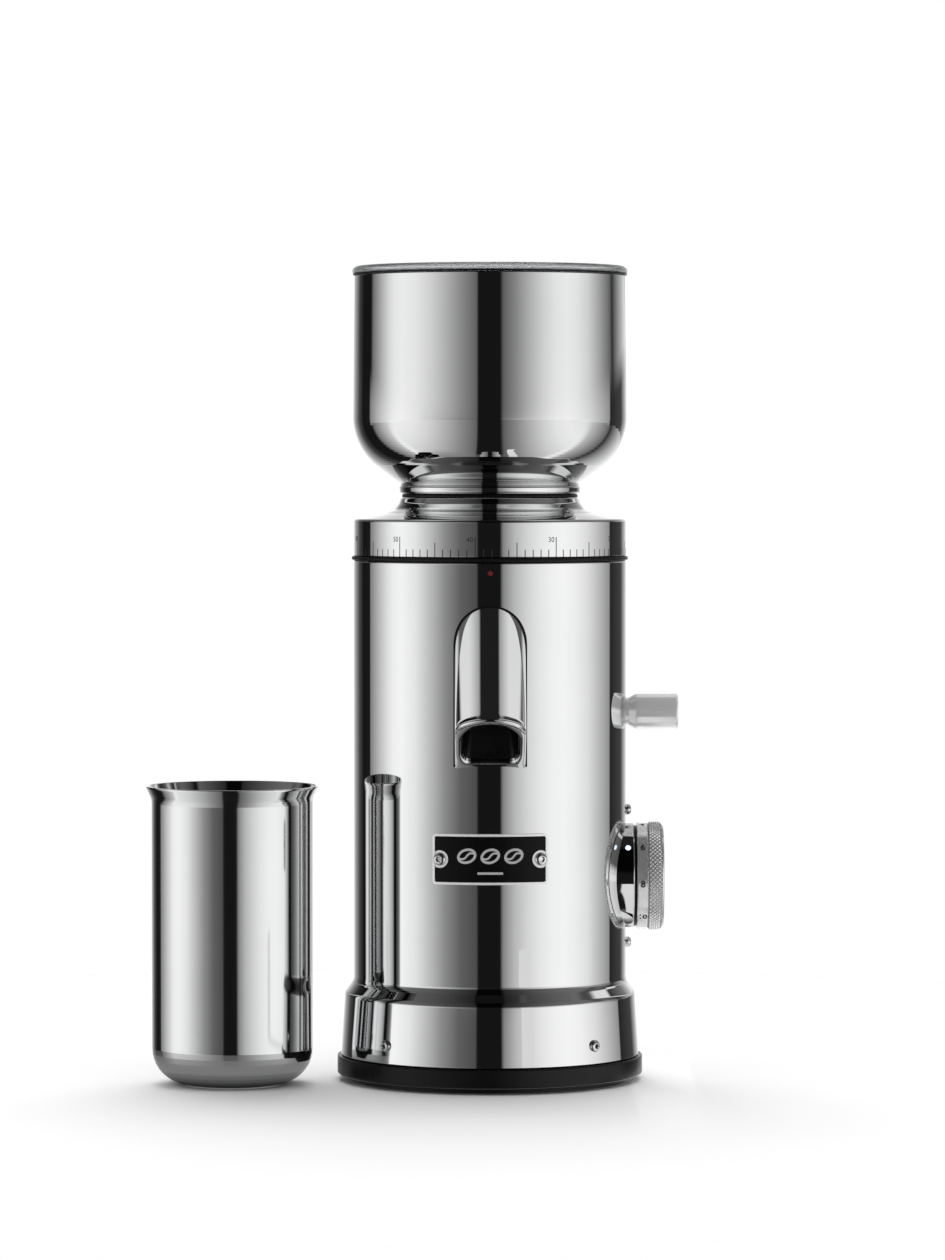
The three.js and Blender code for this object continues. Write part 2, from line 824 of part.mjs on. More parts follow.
// Outline of an involute spur gear with a tooth centred on +X.
function gearOutline(teeth, module, addendum) {
  const backlash = 0.15;
  const pressure = THREE.MathUtils.degToRad(20);
  const pitch = (teeth * module) / 2;
  const baseCircle = pitch * Math.cos(pressure);
  const tip = pitch + addendum * module;
  const root = pitch - 1.25 * module;
  const involute = (radius) => {
    const angle = Math.acos(Math.min(1, baseCircle / radius));
    return Math.tan(angle) - angle;
  };
  const halfTooth = Math.PI / (2 * teeth) - backlash / (2 * pitch);
  const halfAt = (radius) => halfTooth + involute(pitch) - involute(radius);
  const start = Math.max(root, baseCircle);
  const flank = [root, (start + pitch) / 2, tip]
    .map((radius) => [radius, halfAt(Math.max(radius, start))]);
  const outline = [];
  for (let tooth = 0; tooth < teeth; tooth += 1) {
    const centre = (2 * Math.PI * tooth) / teeth;
    const sides = [
      ...flank.map(([radius, half]) => [radius, centre - half]),
      ...[...flank].reverse().map(([radius, half]) => [radius, centre + half]),
    ];
    sides.forEach(([radius, angle]) => {
      outline.push([radius * Math.cos(angle), radius * Math.sin(angle)]);
    });
  }
  return outline;
}

const shaft = assembly("burr_shaft_set");
const driveGear = raised(gearOutline(GEAR_TEETH, GEAR_MODULE, 0.75), 121, 129).rotateZ(Math.PI / 2);
addPiece(
  shaft,
  "drive_gear",
  cut(
    solid(driveGear),
    solid(disc(SHAFT_RADIUS + 0.1, 100, 140, 16)),
  ),
  "white_nylon",
);
const pinion = raised(gearOutline(PINION_TEETH, GEAR_MODULE, 1), 120.6, 129.4)
  .rotateZ(-Math.PI / 2 + Math.PI / PINION_TEETH)
  .translate(0, GEAR_CENTRES, 0);
addPiece(
  rotor,
  "motor_pinion",
  solid(pinion).subtract(solid(disc(2.4, 100, 140, 24).translate(0, GEAR_CENTRES, 0))),
  "machined_steel",
);

// ---- Burr shaft ----

addPiece(shaft, "burr_shaft", solid(disc(SHAFT_RADIUS, 112.4, 184, 24)), "machined_steel");

const vanes = [0, 1, 2, 3].map((i) =>
  solid(box([7, 35.6], [-1.2, 1.2], [165.2, 176]).rotateZ((i * Math.PI) / 2 + Math.PI / 4)),
);
addPiece(
  shaft,
  "lower_burr_carrier",
  joined(
    solid(
      turned([
        [4.1, 168],
        [9, 168],
        [9, 174],
        [31, 174],
        [31, 177.8],
        [4.1, 177.8],
      ], INNER),
    ),
    ...vanes,
  ),
  "machined_steel",
);

// A flat burr with slanted cutting grooves in the face that looks along `facing`.
function burr(back, face, facing) {
  const blank = turned([
    [BURR_BORE, back],
    [BURR_RADIUS, back],
    [BURR_RADIUS, face],
    [21, face],
    [BURR_BORE, face - facing * 2.5],
  ], INNER);
  const teeth = 12;
  const depth = facing * 1.2;
  const grooves = Array.from({ length: teeth }, (_, i) => {
    const outline = [[-0.2, face + facing], [1.9, face + facing], [-0.2, face - depth]];
    const groove = upright(outline, BURR_BORE - 3, BURR_RADIUS + 3);
    groove.rotateZ(THREE.MathUtils.degToRad(facing * 12));
    groove.translate(0, -facing * 4, 0);
    return solid(groove.rotateZ((2 * Math.PI * i) / teeth));
  });
  return cut(solid(blank), ...grooves);
}

addPiece(shaft, "lower_burr", burr(178, LOWER_BURR_FACE, 1), "machined_steel");

const feedWings = [0, 1].map((i) =>
  solid(box([5, 12.6], [-1, 1], [178.2, 187]).rotateZ(i * Math.PI)),
);
addPiece(
  shaft,
  "feed_impeller",
  joined(
    solid(
      turned([
        [4.1, 178.2],
        [6.5, 178.2],
        [6.5, 186],
        [4, 190],
        [0, 190],
        [0, 184.6],
        [4.1, 184.6],
      ], SMALL + 4),
    ),
    ...feedWings,
  ),
  "machined_steel",
);

// ---- Grind adjustment ----

const upperFace = LOWER_BURR_FACE + BURR_GAP;
const carrierSet = assembly("upper_burr_set");
addPiece(carrierSet, "upper_burr", burr(190.3, upperFace, -1), "machined_steel");
addPiece(
  carrierSet,
  "upper_burr_carrier",
  solid(
    turned([
      [14.5, 190.5],
      [36, 190.5],
      [36, 212],
      [33, 212],
      [33, 196],
      [24, 196],
      [14.5, 192.5],
    ]),
  ),
  "machined_steel",
);

const dial = assembly("grind_dial_set");
addPiece(
  dial,
  "adjuster_collar",
  solid(ring(36.6, 46, 204, 216.8)),
  "machined_steel",
);
addPiece(
  dial,
  "grind_dial",
  solid(
    turned([
      [THROAT_RADIUS, 199],
      [THROAT_RADIUS + 2, 199],
      [THROAT_RADIUS + 2, 217],
      [DIAL_RADIUS - 2, 217],
      [DIAL_RADIUS - 2, DIAL_BOTTOM],
      [DIAL_RADIUS - 0.4, DIAL_BOTTOM],
      [DIAL_RADIUS, DIAL_BOTTOM + 0.5],
      [DIAL_RADIUS, DIAL_WALL_TOP - 0.4],
      [DIAL_RADIUS - 0.4, DIAL_WALL_TOP],
      [42, 221.8],
      [37.8, 223],
      [35.9, 225],
      [34.9, DIAL_NECK_TOP],
      [THROAT_RADIUS, DIAL_NECK_TOP],
    ]),
  ),
  "polished_steel",
);

// ---- Bean hopper ----

const hopperSet = assembly("hopper_set");
addPiece(
  hopperSet,
  "hopper_gasket",
  solid(ring(THROAT_RADIUS, 33.5, DIAL_NECK_TOP + 0.2, HOPPER_BOTTOM - 0.1)),
  "black_rubber",
);

const shoulder = arc(HOPPER_RADIUS - 25.5, HOPPER_SHOULDER, 25.5, -53, 0, 4);
const hopperOutside = [
  [35.3, HOPPER_BOTTOM],
  [35.5, 232],
  [36.8, 234.5],
  ...shoulder,
  [HOPPER_RADIUS, HOPPER_TOP],
];
const hopperInside = [
  [HOPPER_RADIUS - HOPPER_WALL, HOPPER_TOP],
  ...[...arc(HOPPER_RADIUS - 25.5, HOPPER_SHOULDER, 25.5 - HOPPER_WALL, -53, 0, 4)].reverse(),
  [35.6, 235],
  [THROAT_RADIUS, 232.5],
  [THROAT_RADIUS, HOPPER_BOTTOM],
];
addPiece(hopperSet, "hopper", solid(turned([...hopperOutside, ...hopperInside])), "polished_steel");
addPiece(
  hopperSet,
  "lid_seal",
  solid(ring(HOPPER_RADIUS - HOPPER_WALL, HOPPER_RADIUS + 0.3, HOPPER_TOP + 0.1, LID_BOTTOM - 0.1)),
  "black_rubber",
);

const lid = assembly("lid_set");
addPiece(
  lid,
  "lid",
  solid(
    turned([
      [0, LID_TOP - 1.8],
      [47, LID_TOP - 1.8],
      [48.6, 309],
      [51, 309],
      [51.2, LID_BOTTOM],
      [LID_RADIUS, LID_BOTTOM],
      [LID_RADIUS - 0.2, LID_BOTTOM + 1.6],
      [LID_RADIUS - 1.4, LID_BOTTOM + 2.5],
      [40, LID_TOP - 0.1],
      [0, LID_TOP],
    ]),
  ),
  "smoked_plastic",
);

// ---- Grounds cup ----

const cup = assembly("cup");
const cupProfile = [
  [0, 0],
  ...arc(CUP_RADIUS - CUP_CORNER, CUP_CORNER, CUP_CORNER, -90, 0, 4),
  [CUP_RADIUS, 111.4],
  [CUP_RADIUS + 0.7, 113.6],
  [CUP_LIP_RADIUS, CUP_TOP],
  [CUP_LIP_RADIUS - CUP_WALL, CUP_TOP],
  [CUP_RADIUS + 0.7 - CUP_WALL, 114],
  [CUP_RADIUS - CUP_WALL, 111.6],
  ...arc(CUP_RADIUS - CUP_CORNER, CUP_CORNER, CUP_CORNER - CUP_WALL, 0, -90, 4),
  [0, CUP_WALL],
];
addPiece(
  cup,
  "grounds_cup",
  solid(turned(cupProfile, 28).translate(CUP_X, CUP_Y, 0)),
  "polished_steel",
);

export default grinder;
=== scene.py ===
"""Looks of the burr coffee grinder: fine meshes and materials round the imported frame.

Profiles are in millimetres and anchored on the boxes of the CAD nodes. The grinder stands on z 0 with its
axis on Z, the spout points to -Y, and the knob and lever point to +X.
"""

import json
import math

import bmesh
import bpy
from mathutils import Matrix, Vector


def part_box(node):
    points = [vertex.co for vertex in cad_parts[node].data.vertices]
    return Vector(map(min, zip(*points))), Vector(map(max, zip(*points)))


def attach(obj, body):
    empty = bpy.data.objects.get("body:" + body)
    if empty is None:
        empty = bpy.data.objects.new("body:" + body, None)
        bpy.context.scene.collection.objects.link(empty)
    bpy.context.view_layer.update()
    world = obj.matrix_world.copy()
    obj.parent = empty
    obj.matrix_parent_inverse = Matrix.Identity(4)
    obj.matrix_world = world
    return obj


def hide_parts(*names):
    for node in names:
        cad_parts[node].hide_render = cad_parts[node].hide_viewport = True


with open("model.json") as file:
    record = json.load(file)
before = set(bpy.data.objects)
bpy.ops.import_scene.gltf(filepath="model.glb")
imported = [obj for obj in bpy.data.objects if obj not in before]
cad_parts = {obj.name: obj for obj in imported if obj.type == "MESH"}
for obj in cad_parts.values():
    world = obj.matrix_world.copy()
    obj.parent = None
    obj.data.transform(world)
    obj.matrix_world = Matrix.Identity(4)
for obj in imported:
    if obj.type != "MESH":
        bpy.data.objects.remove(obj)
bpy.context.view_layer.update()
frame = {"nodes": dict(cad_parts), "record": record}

MM = 0.001
TURN = 2 * math.pi


# ---- Sizes taken from the frame, in millimetres ----

def span(node):
    low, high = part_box(node)
    return [v / MM for v in low], [v / MM for v in high]


def heights(node):
    low, high = span(node)
    return low[2], high[2]


def radius_of(node):
    low, high = span(node)
    return (high[0] - low[0]) / 2


SHELL_R = radius_of("dial_seal") - 0.7
SKIRT_R = radius_of("housing")
SHELL_BOTTOM = heights("housing")[0]
SHELL_TOP = heights("housing")[1] + 0.45
BASE_R = radius_of("base_ring")
BASE_BOTTOM, BASE_TOP = heights("base_ring")
FOOT_R = radius_of("foot_pad")
FOOT_TOP = heights("foot_pad")[1]
DIAL_R = radius_of("grind_dial")
DIAL_BOTTOM = heights("dial_seal")[1] + 0.15
DIAL_TOP = heights("grind_dial")[1]
THROAT_R = 24.0
HOPPER_R = radius_of("hopper")
HOPPER_BOTTOM, HOPPER_TOP = heights("hopper")
LID_R = radius_of("lid")
LID_TOP = heights("lid")[1]
LID_BOTTOM = heights("lid_seal")[1] + 0.1
KNOB_LOW, KNOB_HIGH = span("selector_knob")
KNOB_Z = (KNOB_LOW[2] + KNOB_HIGH[2]) / 2
KNOB_R = (KNOB_HIGH[2] - KNOB_LOW[2]) / 2
KNOB_X0, KNOB_X1 = KNOB_LOW[0], KNOB_HIGH[0]
LEVER_LOW, LEVER_HIGH = span("lever_handle")
LEVER_Z = (LEVER_LOW[2] + LEVER_HIGH[2]) / 2
LEVER_R = (LEVER_HIGH[2] - LEVER_LOW[2]) / 2
LEVER_X1 = LEVER_HIGH[0]
CUP_LOW, CUP_HIGH = span("grounds_cup")
CUP_X = (CUP_LOW[0] + CUP_HIGH[0]) / 2
CUP_Y = (CUP_LOW[1] + CUP_HIGH[1]) / 2
CUP_LIP_R = (CUP_HIGH[0] - CUP_LOW[0]) / 2
CUP_TOP = CUP_HIGH[2]
PLATE_LOW, PLATE_HIGH = span("nameplate_frame")
PLATE_Z = (PLATE_LOW[2] + PLATE_HIGH[2]) / 2
PLATE_TALL = PLATE_HIGH[2] - PLATE_LOW[2]
SKIRT_SCREW_Z = sum(heights("skirt_screw_1")) / 2
PORT_Z = (162.0, 180.0)
FLARE = 34.0


# ---- Shader nodes ----

def new_material(name):
    material = bpy.data.materials.new(name)
    material.use_nodes = True
    tree = material.node_tree
    tree.nodes.clear()
    output = tree.nodes.new("ShaderNodeOutputMaterial")
    shader = tree.nodes.new("ShaderNodeBsdfPrincipled")
    tree.links.new(shader.outputs[0], output.inputs[0])
    return material, tree, shader


class Nodes:
    """Short ways to add shader nodes to one tree."""

    def __init__(self, tree):
        self.tree = tree

    def add(self, kind, inputs=(), **settings):
        made = self.tree.nodes.new(kind)
        for key, value in settings.items():
            setattr(made, key, value)
        for socket, value in inputs:
            if hasattr(value, "links"):
                self.tree.links.new(value, made.inputs[socket])
            else:
                made.inputs[socket].default_value = value
        return made

    def math(self, operation, *values):
        return self.add("ShaderNodeMath", list(enumerate(values)), operation=operation).outputs[0]

    def ease(self, value, start, end, low=0.0, high=1.0):
        names = ("From Min", "From Max", "To Min", "To Max")
        inputs = [("Value", value)] + list(zip(names, (start, end, low, high)))
        return self.add("ShaderNodeMapRange", inputs).outputs["Result"]

    def mix(self, share, first, second):
        def colour(value):
            return value if hasattr(value, "links") else (value, value, value, 1)

        inputs = [("Factor", share), ("A", colour(first)), ("B", colour(second))]
        return self.add("ShaderNodeMix", inputs, data_type="RGBA").outputs["Result"]

    def ramp(self, angle, levels):
        """The brightness at an angle in radians, from stops of (degrees, brightness shown)."""
        place = self.math("ADD", self.math("DIVIDE", angle, TURN), 0.5)
        made = self.add("ShaderNodeValToRGB", [(0, place)])
        stops = made.color_ramp.elements
        for degrees, shown in levels:
            level = ((shown + 0.055) / 1.055) ** 2.4 / STEEL_SHINE
            stops.new(degrees / 360 + 0.5).color = (level, level, level, 1)
        for end in (stops[0], stops[-1]):
            end.color = (1.25, 1.25, 1.25, 1)
        return made.outputs[0]


def coordinates(tree, scale=(1, 1, 1)):
    source = tree.nodes.new("ShaderNodeTexCoord")
    mapping = tree.nodes.new("ShaderNodeMapping")
    mapping.inputs["Scale"].default_value = scale
    tree.links.new(source.outputs["Object"], mapping.inputs["Vector"])
    return mapping.outputs["Vector"]


def noise(tree, vector, scale, detail=3.0, roughness=0.5):
    node = tree.nodes.new("ShaderNodeTexNoise")
    node.inputs["Scale"].default_value = scale
    node.inputs["Detail"].default_value = detail
    node.inputs["Roughness"].default_value = roughness
    tree.links.new(vector, node.inputs["Vector"])
    return node.outputs["Fac"]


def spread(tree, value, low, high, start=0.3, end=0.7):
    node = tree.nodes.new("ShaderNodeMapRange")
    node.inputs["From Min"].default_value = start
    node.inputs["From Max"].default_value = end
    node.inputs["To Min"].default_value = low
    node.inputs["To Max"].default_value = high
    tree.links.new(value, node.inputs["Value"])
    return node.outputs["Result"]


def blend_colours(tree, value, first, second):
    node = tree.nodes.new("ShaderNodeMix")
    node.data_type = "RGBA"
    node.inputs["A"].default_value = (*first, 1)
    node.inputs["B"].default_value = (*second, 1)
    tree.links.new(value, node.inputs["Factor"])
    return node.outputs["Result"]


def bump(tree, shader, value, strength, distance):
    node = tree.nodes.new("ShaderNodeBump")
    node.inputs["Strength"].default_value = strength
    node.inputs["Distance"].default_value = distance
    tree.links.new(value, node.inputs["Height"])
    tree.links.new(node.outputs[0], shader.inputs["Normal"])


def metal(name, colours, rough, grain_scale, grain, smudge=14.0, stretch=(1, 1, 1), metallic=1.0):
    """Metal with soft smudges in its gloss and a fine surface grain."""
    material, tree, shader = new_material(name)
    shader.inputs["Metallic"].default_value = metallic
    smudges = noise(tree, coordinates(tree), smudge, 4.0, 0.6)
    tree.links.new(blend_colours(tree, spread(tree, smudges, 0, 1), *colours), shader.inputs["Base Color"])
    tree.links.new(spread(tree, smudges, *rough), shader.inputs["Roughness"])
    lines = noise(tree, coordinates(tree, stretch), grain_scale, 2.0)
    bump(tree, shader, lines, grain, 0.00002)
    return material


def plastic(name, colours, rough, grain_scale, grain, shine=0.5):
    material, tree, shader = new_material(name)
    cloud = noise(tree, coordinates(tree), 60.0, 3.0)
    tree.links.new(blend_colours(tree, spread(tree, cloud, 0, 1), *colours), shader.inputs["Base Color"])
    tree.links.new(spread(tree, cloud, *rough), shader.inputs["Roughness"])
    shader.inputs["Specular IOR Level"].default_value = shine
    bump(tree, shader, noise(tree, coordinates(tree), grain_scale, 2.0), grain, 0.00005)
    return material


STEEL = metal("polished_steel", ((0.78, 0.785, 0.79), (0.82, 0.82, 0.82)), (0.015, 0.035), 900, 0.012,
              stretch=(1, 1, 6))
CUP_STEEL = metal("cup_steel", ((0.76, 0.765, 0.77), (0.81, 0.81, 0.81)), (0.06, 0.1), 1400, 0.05,
                  stretch=(1, 1, 8))
SATIN_STEEL = metal("satin_steel", ((0.78, 0.785, 0.79), (0.84, 0.84, 0.84)), (0.16, 0.22), 2500, 0.08,
                    stretch=(6, 1, 1), metallic=0.75)
BRUSHED_STEEL = metal("brushed_steel", ((0.88, 0.885, 0.89), (0.95, 0.95, 0.95)), (0.14, 0.2), 2500, 0.06,
                      stretch=(6, 1, 1), metallic=0.5)
BRIGHT_STEEL = metal("bright_edge_steel", ((0.9, 0.9, 0.9), (0.95, 0.95, 0.95)), (0.28, 0.36), 2500, 0.05,
                     metallic=0.4)
TURNED_STEEL = metal("turned_steel", ((0.5, 0.51, 0.52), (0.62, 0.62, 0.62)), (0.24, 0.36), 700, 0.35,
                     stretch=(1, 1, 5))
ZINC = metal("zinc_plate", ((0.55, 0.57, 0.58), (0.64, 0.65, 0.64)), (0.38, 0.5), 1800, 0.3)
INSIDE_STEEL = metal("inside_steel", ((0.6, 0.605, 0.61), (0.68, 0.68, 0.68)), (0.22, 0.32), 800, 0.3,
                     stretch=(1, 1, 8))
BLACK = plastic("black_plastic", ((0.003, 0.003, 0.0032), (0.0055, 0.0055, 0.0057)), (0.22, 0.32), 2600,
                0.12, 0.25)
RUBBER = plastic("black_rubber", ((0.003, 0.003, 0.003), (0.006, 0.006, 0.006)), (0.3, 0.42), 3200, 0.2, 0.22)
FIELD = plastic("nameplate_black", ((0.0025, 0.0025, 0.003), (0.004, 0.004, 0.0045)), (0.25, 0.32), 3000,
                0.06, 0.15)
INK = plastic("scale_fill", ((0.02, 0.02, 0.021), (0.035, 0.035, 0.036)), (0.5, 0.62), 4000, 0.1, 0.2)
RED = plastic("signal_red", ((0.13, 0.006, 0.008), (0.17, 0.01, 0.011)), (0.35, 0.45), 2500, 0.1, 0.2)
GREY = plastic("grey_plastic", ((0.13, 0.135, 0.14), (0.18, 0.185, 0.19)), (0.42, 0.56), 2600, 0.3)
BOARD = plastic("circuit_board", ((0.012, 0.09, 0.03), (0.02, 0.14, 0.05)), (0.35, 0.5), 900, 0.3)
NYLON = plastic("white_nylon", ((0.68, 0.66, 0.6), (0.78, 0.76, 0.71)), (0.42, 0.55), 1800, 0.2)
EMBLEM = plastic("emblem_silver", ((0.36, 0.36, 0.36), (0.46, 0.46, 0.46)), (0.35, 0.45), 2500, 0.1)


def clear_plastic():
    material, tree, shader = new_material("smoked_plastic")
    cloud = noise(tree, coordinates(tree), 30.0, 3.0)
    tree.links.new(
        blend_colours(tree, spread(tree, cloud, 0, 1), (0.84, 0.86, 0.87), (0.89, 0.9, 0.91)),
        shader.inputs["Base Color"],
    )
    tree.links.new(spread(tree, cloud, 0.04, 0.09), shader.inputs["Roughness"])
    shader.inputs["Transmission Weight"].default_value = 0.85
    shader.inputs["IOR"].default_value = 1.49
    bump(tree, shader, noise(tree, coordinates(tree), 300, 2.0), 0.03, 0.00003)
    return material


def lamp_lens():
    material, tree, shader = new_material("lamp_white")
    cloud = noise(tree, coordinates(tree), 900.0, 2.0)
    tint = blend_colours(tree, spread(tree, cloud, 0, 1), (0.45, 0.66, 1.0), (0.9, 0.95, 1.0))
    tree.links.new(tint, shader.inputs["Base Color"])
    tree.links.new(tint, shader.inputs["Emission Color"])
    shader.inputs["Emission Strength"].default_value = 0.9
    tree.links.new(spread(tree, cloud, 0.12, 0.25), shader.inputs["Roughness"])
    return material


CLEAR = clear_plastic()
LAMP = lamp_lens()

# ---- Meshes ----

def placed(mesh_builder, name, matrix=None, sharp=32):
    """Finishes a bmesh as a smooth object whose edges over `sharp` degrees stay crisp."""
    bmesh.ops.remove_doubles(mesh_builder, verts=mesh_builder.verts, dist=1e-7)
    bmesh.ops.recalc_face_normals(mesh_builder, faces=mesh_builder.faces)
    limit = math.radians(sharp)
    for edge in mesh_builder.edges:
        edge.smooth = edge.calc_face_angle(0) < limit
    for face in mesh_builder.faces:
        face.smooth = True
    mesh = bpy.data.meshes.new(name)
    mesh_builder.to_mesh(mesh)
    mesh_builder.free()
    if matrix is not None:
        mesh.transform(matrix)
    mesh.update()
    made = bpy.data.objects.new(name, mesh)
    bpy.context.scene.collection.objects.link(made)
    return made


def piece(made, body, material, replaces=()):
    made.data.materials.append(material)
    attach(made, body)
    if replaces:
        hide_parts(*replaces)
    return made


def filleted(corners, closed):
    """The path through (radius, height, fillet) corners with each fillet as an arc."""
    path = []
    count = len(corners)
    for i, corner in enumerate(corners):
        here = Vector(corner[:2])
        size = corner[2] if len(corner) > 2 else 0
        at_end = not closed and i in (0, count - 1)
        if not size or at_end:
            path.append(tuple(here))
            continue
        back = Vector(corners[i - 1][:2]) - here
        ahead = Vector(corners[(i + 1) % count][:2]) - here
        angle = back.angle(ahead)
        reach = min(size / math.tan(angle / 2), 0.9 * back.length, 0.9 * ahead.length)
        size = reach * math.tan(angle / 2)
        start, end = here + back.normalized() * reach, here + ahead.normalized() * reach
        centre = here + (back.normalized() + ahead.normalized()).normalized() * size / math.sin(angle / 2)
        steps = max(2, round(math.degrees(math.pi - angle) / 9))
        first = math.atan2(*(start - centre).yx)
        swing = math.atan2(*(end - centre).yx) - first
        swing = (swing + math.pi) % TURN - math.pi
        for k in range(steps + 1):
            a = first + swing * k / steps
            path.append((centre.x + size * math.cos(a), centre.y + size * math.sin(a)))
    return path


def held(path, closed, gap=0.15):
    """Adds a point near both ends of each long line, so that fillets don't bend the shading of long faces."""
    kept = []
    for i, here in enumerate(path):
        kept.append(here)
        if i == len(path) - 1 and not closed:
            break
        ahead = path[(i + 1) % len(path)]
        length = math.dist(here, ahead)
        if length > 5 * gap:
            for share in (gap / length, 1 - gap / length):
                kept.append((here[0] + (ahead[0] - here[0]) * share, here[1] + (ahead[1] - here[1]) * share))
    return kept


def turned_mesh(corners, segments=144, closed=False):
    """A bmesh turned about Z; an open profile starts and ends on the axis."""
    path = held(filleted(corners, closed), closed)
    made = bmesh.new()
    rings = []
    for r, z in path:
        if r < 1e-6:
            rings.append([made.verts.new((0, 0, z * MM))] * segments)
            continue
        ring = []
        for k in range(segments):
            a = TURN * k / segments
            ring.append(made.verts.new((r * MM * math.sin(a), -r * MM * math.cos(a), z * MM)))
        rings.append(ring)
    pairs = list(zip(rings, rings[1:]))
    if closed:
        pairs.append((rings[-1], rings[0]))
    for low, high in pairs:
        for k in range(segments):
            j = (k + 1) % segments
            corners_of = []
            for v in (low[k], low[j], high[j], high[k]):
                if v not in corners_of:
                    corners_of.append(v)
            if len(corners_of) > 2:
                made.faces.new(corners_of)
    return made


def turned(name, corners, segments=144, closed=False, matrix=None, sharp=32):
    return placed(turned_mesh(corners, segments, closed), name, matrix, sharp)


def along_x(height):
    """Turns a piece built along Z so that it points to +X at a height, in millimetres."""
    return Matrix.Translation((0, 0, height * MM)) @ Matrix.Rotation(math.pi / 2, 4, "Y")


def outward(degrees, height):
    """Turns a piece built along Z so that it points out of the drum, by an angle from the front."""
    turn = Matrix.Rotation(math.radians(degrees), 4, "Z") @ Matrix.Rotation(math.pi / 2, 4, "X")
    return Matrix.Translation((0, 0, height * MM)) @ turn


def loft(loops, closed=True, cap_start=False, cap_end=False):
    """A bmesh through loops of points in millimetres, each with the same count."""
    made = bmesh.new()
    rows = [[made.verts.new([c * MM for c in p]) for p in loop] for loop in loops]
    count = len(rows[0])
    for low, high in zip(rows, rows[1:]):
        for k in range(count if closed else count - 1):
            j = (k + 1) % count
            made.faces.new((low[k], low[j], high[j], high[k]))
    if cap_start:
        made.faces.new(rows[0])
    if cap_end:
        made.faces.new(rows[-1])
    return made


def round_drum(radius, height):
    """Maps a flat drawing (along the drum, up, out) in millimetres onto the drum's front."""
    def place(point):
        a = point[0] / radius
        r = (radius + point[2]) * MM
        return Vector((r * math.sin(a), -r * math.cos(a), (height + point[1]) * MM))
    return place


def round_knob(radius, start):
    """Maps a flat drawing (out along +X, up, outwards) onto the side of the knob that faces the front."""
    def place(point):
        a = point[1] / radius
        r = radius + point[2]
        return Vector((start + point[0], -r * math.cos(a), KNOB_Z + r * math.sin(a))) * MM
    return place


def flat_solid(made, outline, low, high, spacing=0.7):
    """Adds a closed slab to a bmesh from a flat outline, cut into strips so that it can be bent."""
    slab = bmesh.new()
    slab.faces.new([slab.verts.new((x, y, low)) for x, y in outline])
    left, right = min(p[0] for p in outline), max(p[0] for p in outline)
    for k in range(1, math.ceil((right - left) / spacing)):
        cut = slab.verts[:] + slab.edges[:] + slab.faces[:]
        bmesh.ops.bisect_plane(slab, geom=cut, plane_co=(left + k * spacing, 0, 0), plane_no=(1, 0, 0))
    bmesh.ops.triangulate(slab, faces=slab.faces)
    top = bmesh.ops.extrude_face_region(slab, geom=slab.faces[:])
    for v in top["geom"]:
        if isinstance(v, bmesh.types.BMVert):
            v.co.z = high
    mesh = bpy.data.meshes.new("slab")
    slab.to_mesh(mesh)
    slab.free()
    made.from_mesh(mesh)
    bpy.data.meshes.remove(mesh)


def stroke(made, points, width, low, high, closed=False):
    """Adds a ribbon of a given width along flat points to a bmesh, as a closed solid."""
    count = len(points)
    rows = []
    for i, point in enumerate(points):
        before = points[i - 1] if closed or i else point
        after = points[(i + 1) % count] if closed or i < count - 1 else point
        way = Vector((after[0] - before[0], after[1] - before[1])).normalized()
        side = Vector((-way.y, way.x)) * width / 2
        here = Vector(point)
        rows.append(
            [made.verts.new((*(here + s * side), z)) for s, z in ((1, low), (1, high), (-1, high), (-1, low))]
        )
    pairs = list(zip(rows, rows[1:]))
    if closed:
        pairs.append((rows[-1], rows[0]))
    else:
        made.faces.new(rows[0])
        made.faces.new(rows[-1])
    for a, b in pairs:
        for k in range(4):
            j = (k + 1) % 4
            made.faces.new((a[k], a[j], b[j], b[k]))


def bent(made, name, place, sharp=32):
    for v in made.verts:
        v.co = place(v.co)
    return placed(made, name, sharp=sharp)


def lettering(made, words, size, at, low, high, align="CENTER", weight=0.0):
    """Adds plain numerals to a bmesh, with the middle of their height at a flat point."""
    curve = bpy.data.curves.new("numerals", "FONT")
    curve.body = words
    curve.size = size
    curve.align_x = align
    curve.align_y = "CENTER"
    curve.resolution_u = 4
    curve.offset = weight * size
    curve.extrude = (high - low) / 2
    holder = bpy.data.objects.new("numerals", curve)
    bpy.context.scene.collection.objects.link(holder)
    mesh = bpy.data.meshes.new_from_object(holder.evaluated_get(bpy.context.evaluated_depsgraph_get()))
    mesh.transform(Matrix.Translation((*at, (low + high) / 2)))
    made.from_mesh(mesh)
    bpy.data.objects.remove(holder)
    bpy.data.curves.remove(curve)
    bpy.data.meshes.remove(mesh)


def socket_screw(name, seat, head_r, head_h, matrix):
    """A button-head screw along Z with a six-lobed socket."""
    count = 48
    bottom = seat + head_h * 0.3

    def ring(radius, height, lobes=0.0):
        points = []
        for k in range(count):
            a = TURN * k / count
            r = radius * (1 + lobes * math.cos(6 * a))
            points.append((r * math.cos(a), r * math.sin(a), height))
        return points

    crown = [ring(head_r * 0.5, seat - 3), ring(head_r * 0.5, seat), ring(head_r * 0.97, seat)]
    crown.append(ring(head_r, seat + head_h * 0.08))
    for k in range(7):
        a = math.radians(12 + 11 * k)
        crown.append(ring(head_r * (0.42 + 0.58 * math.cos(a)), seat + head_h * (0.1 + 0.9 * math.sin(a))))
    top = seat + head_h
    crown.append(ring(head_r * 0.46, top, 0.02))
    crown.append(ring(head_r * 0.42, top - 0.05, 0.14))
    crown.append(ring(head_r * 0.4, bottom, 0.14))
    return placed(loft(crown, cap_start=True, cap_end=True), name, matrix, sharp=40)


# ---- Foot, base and drum ----

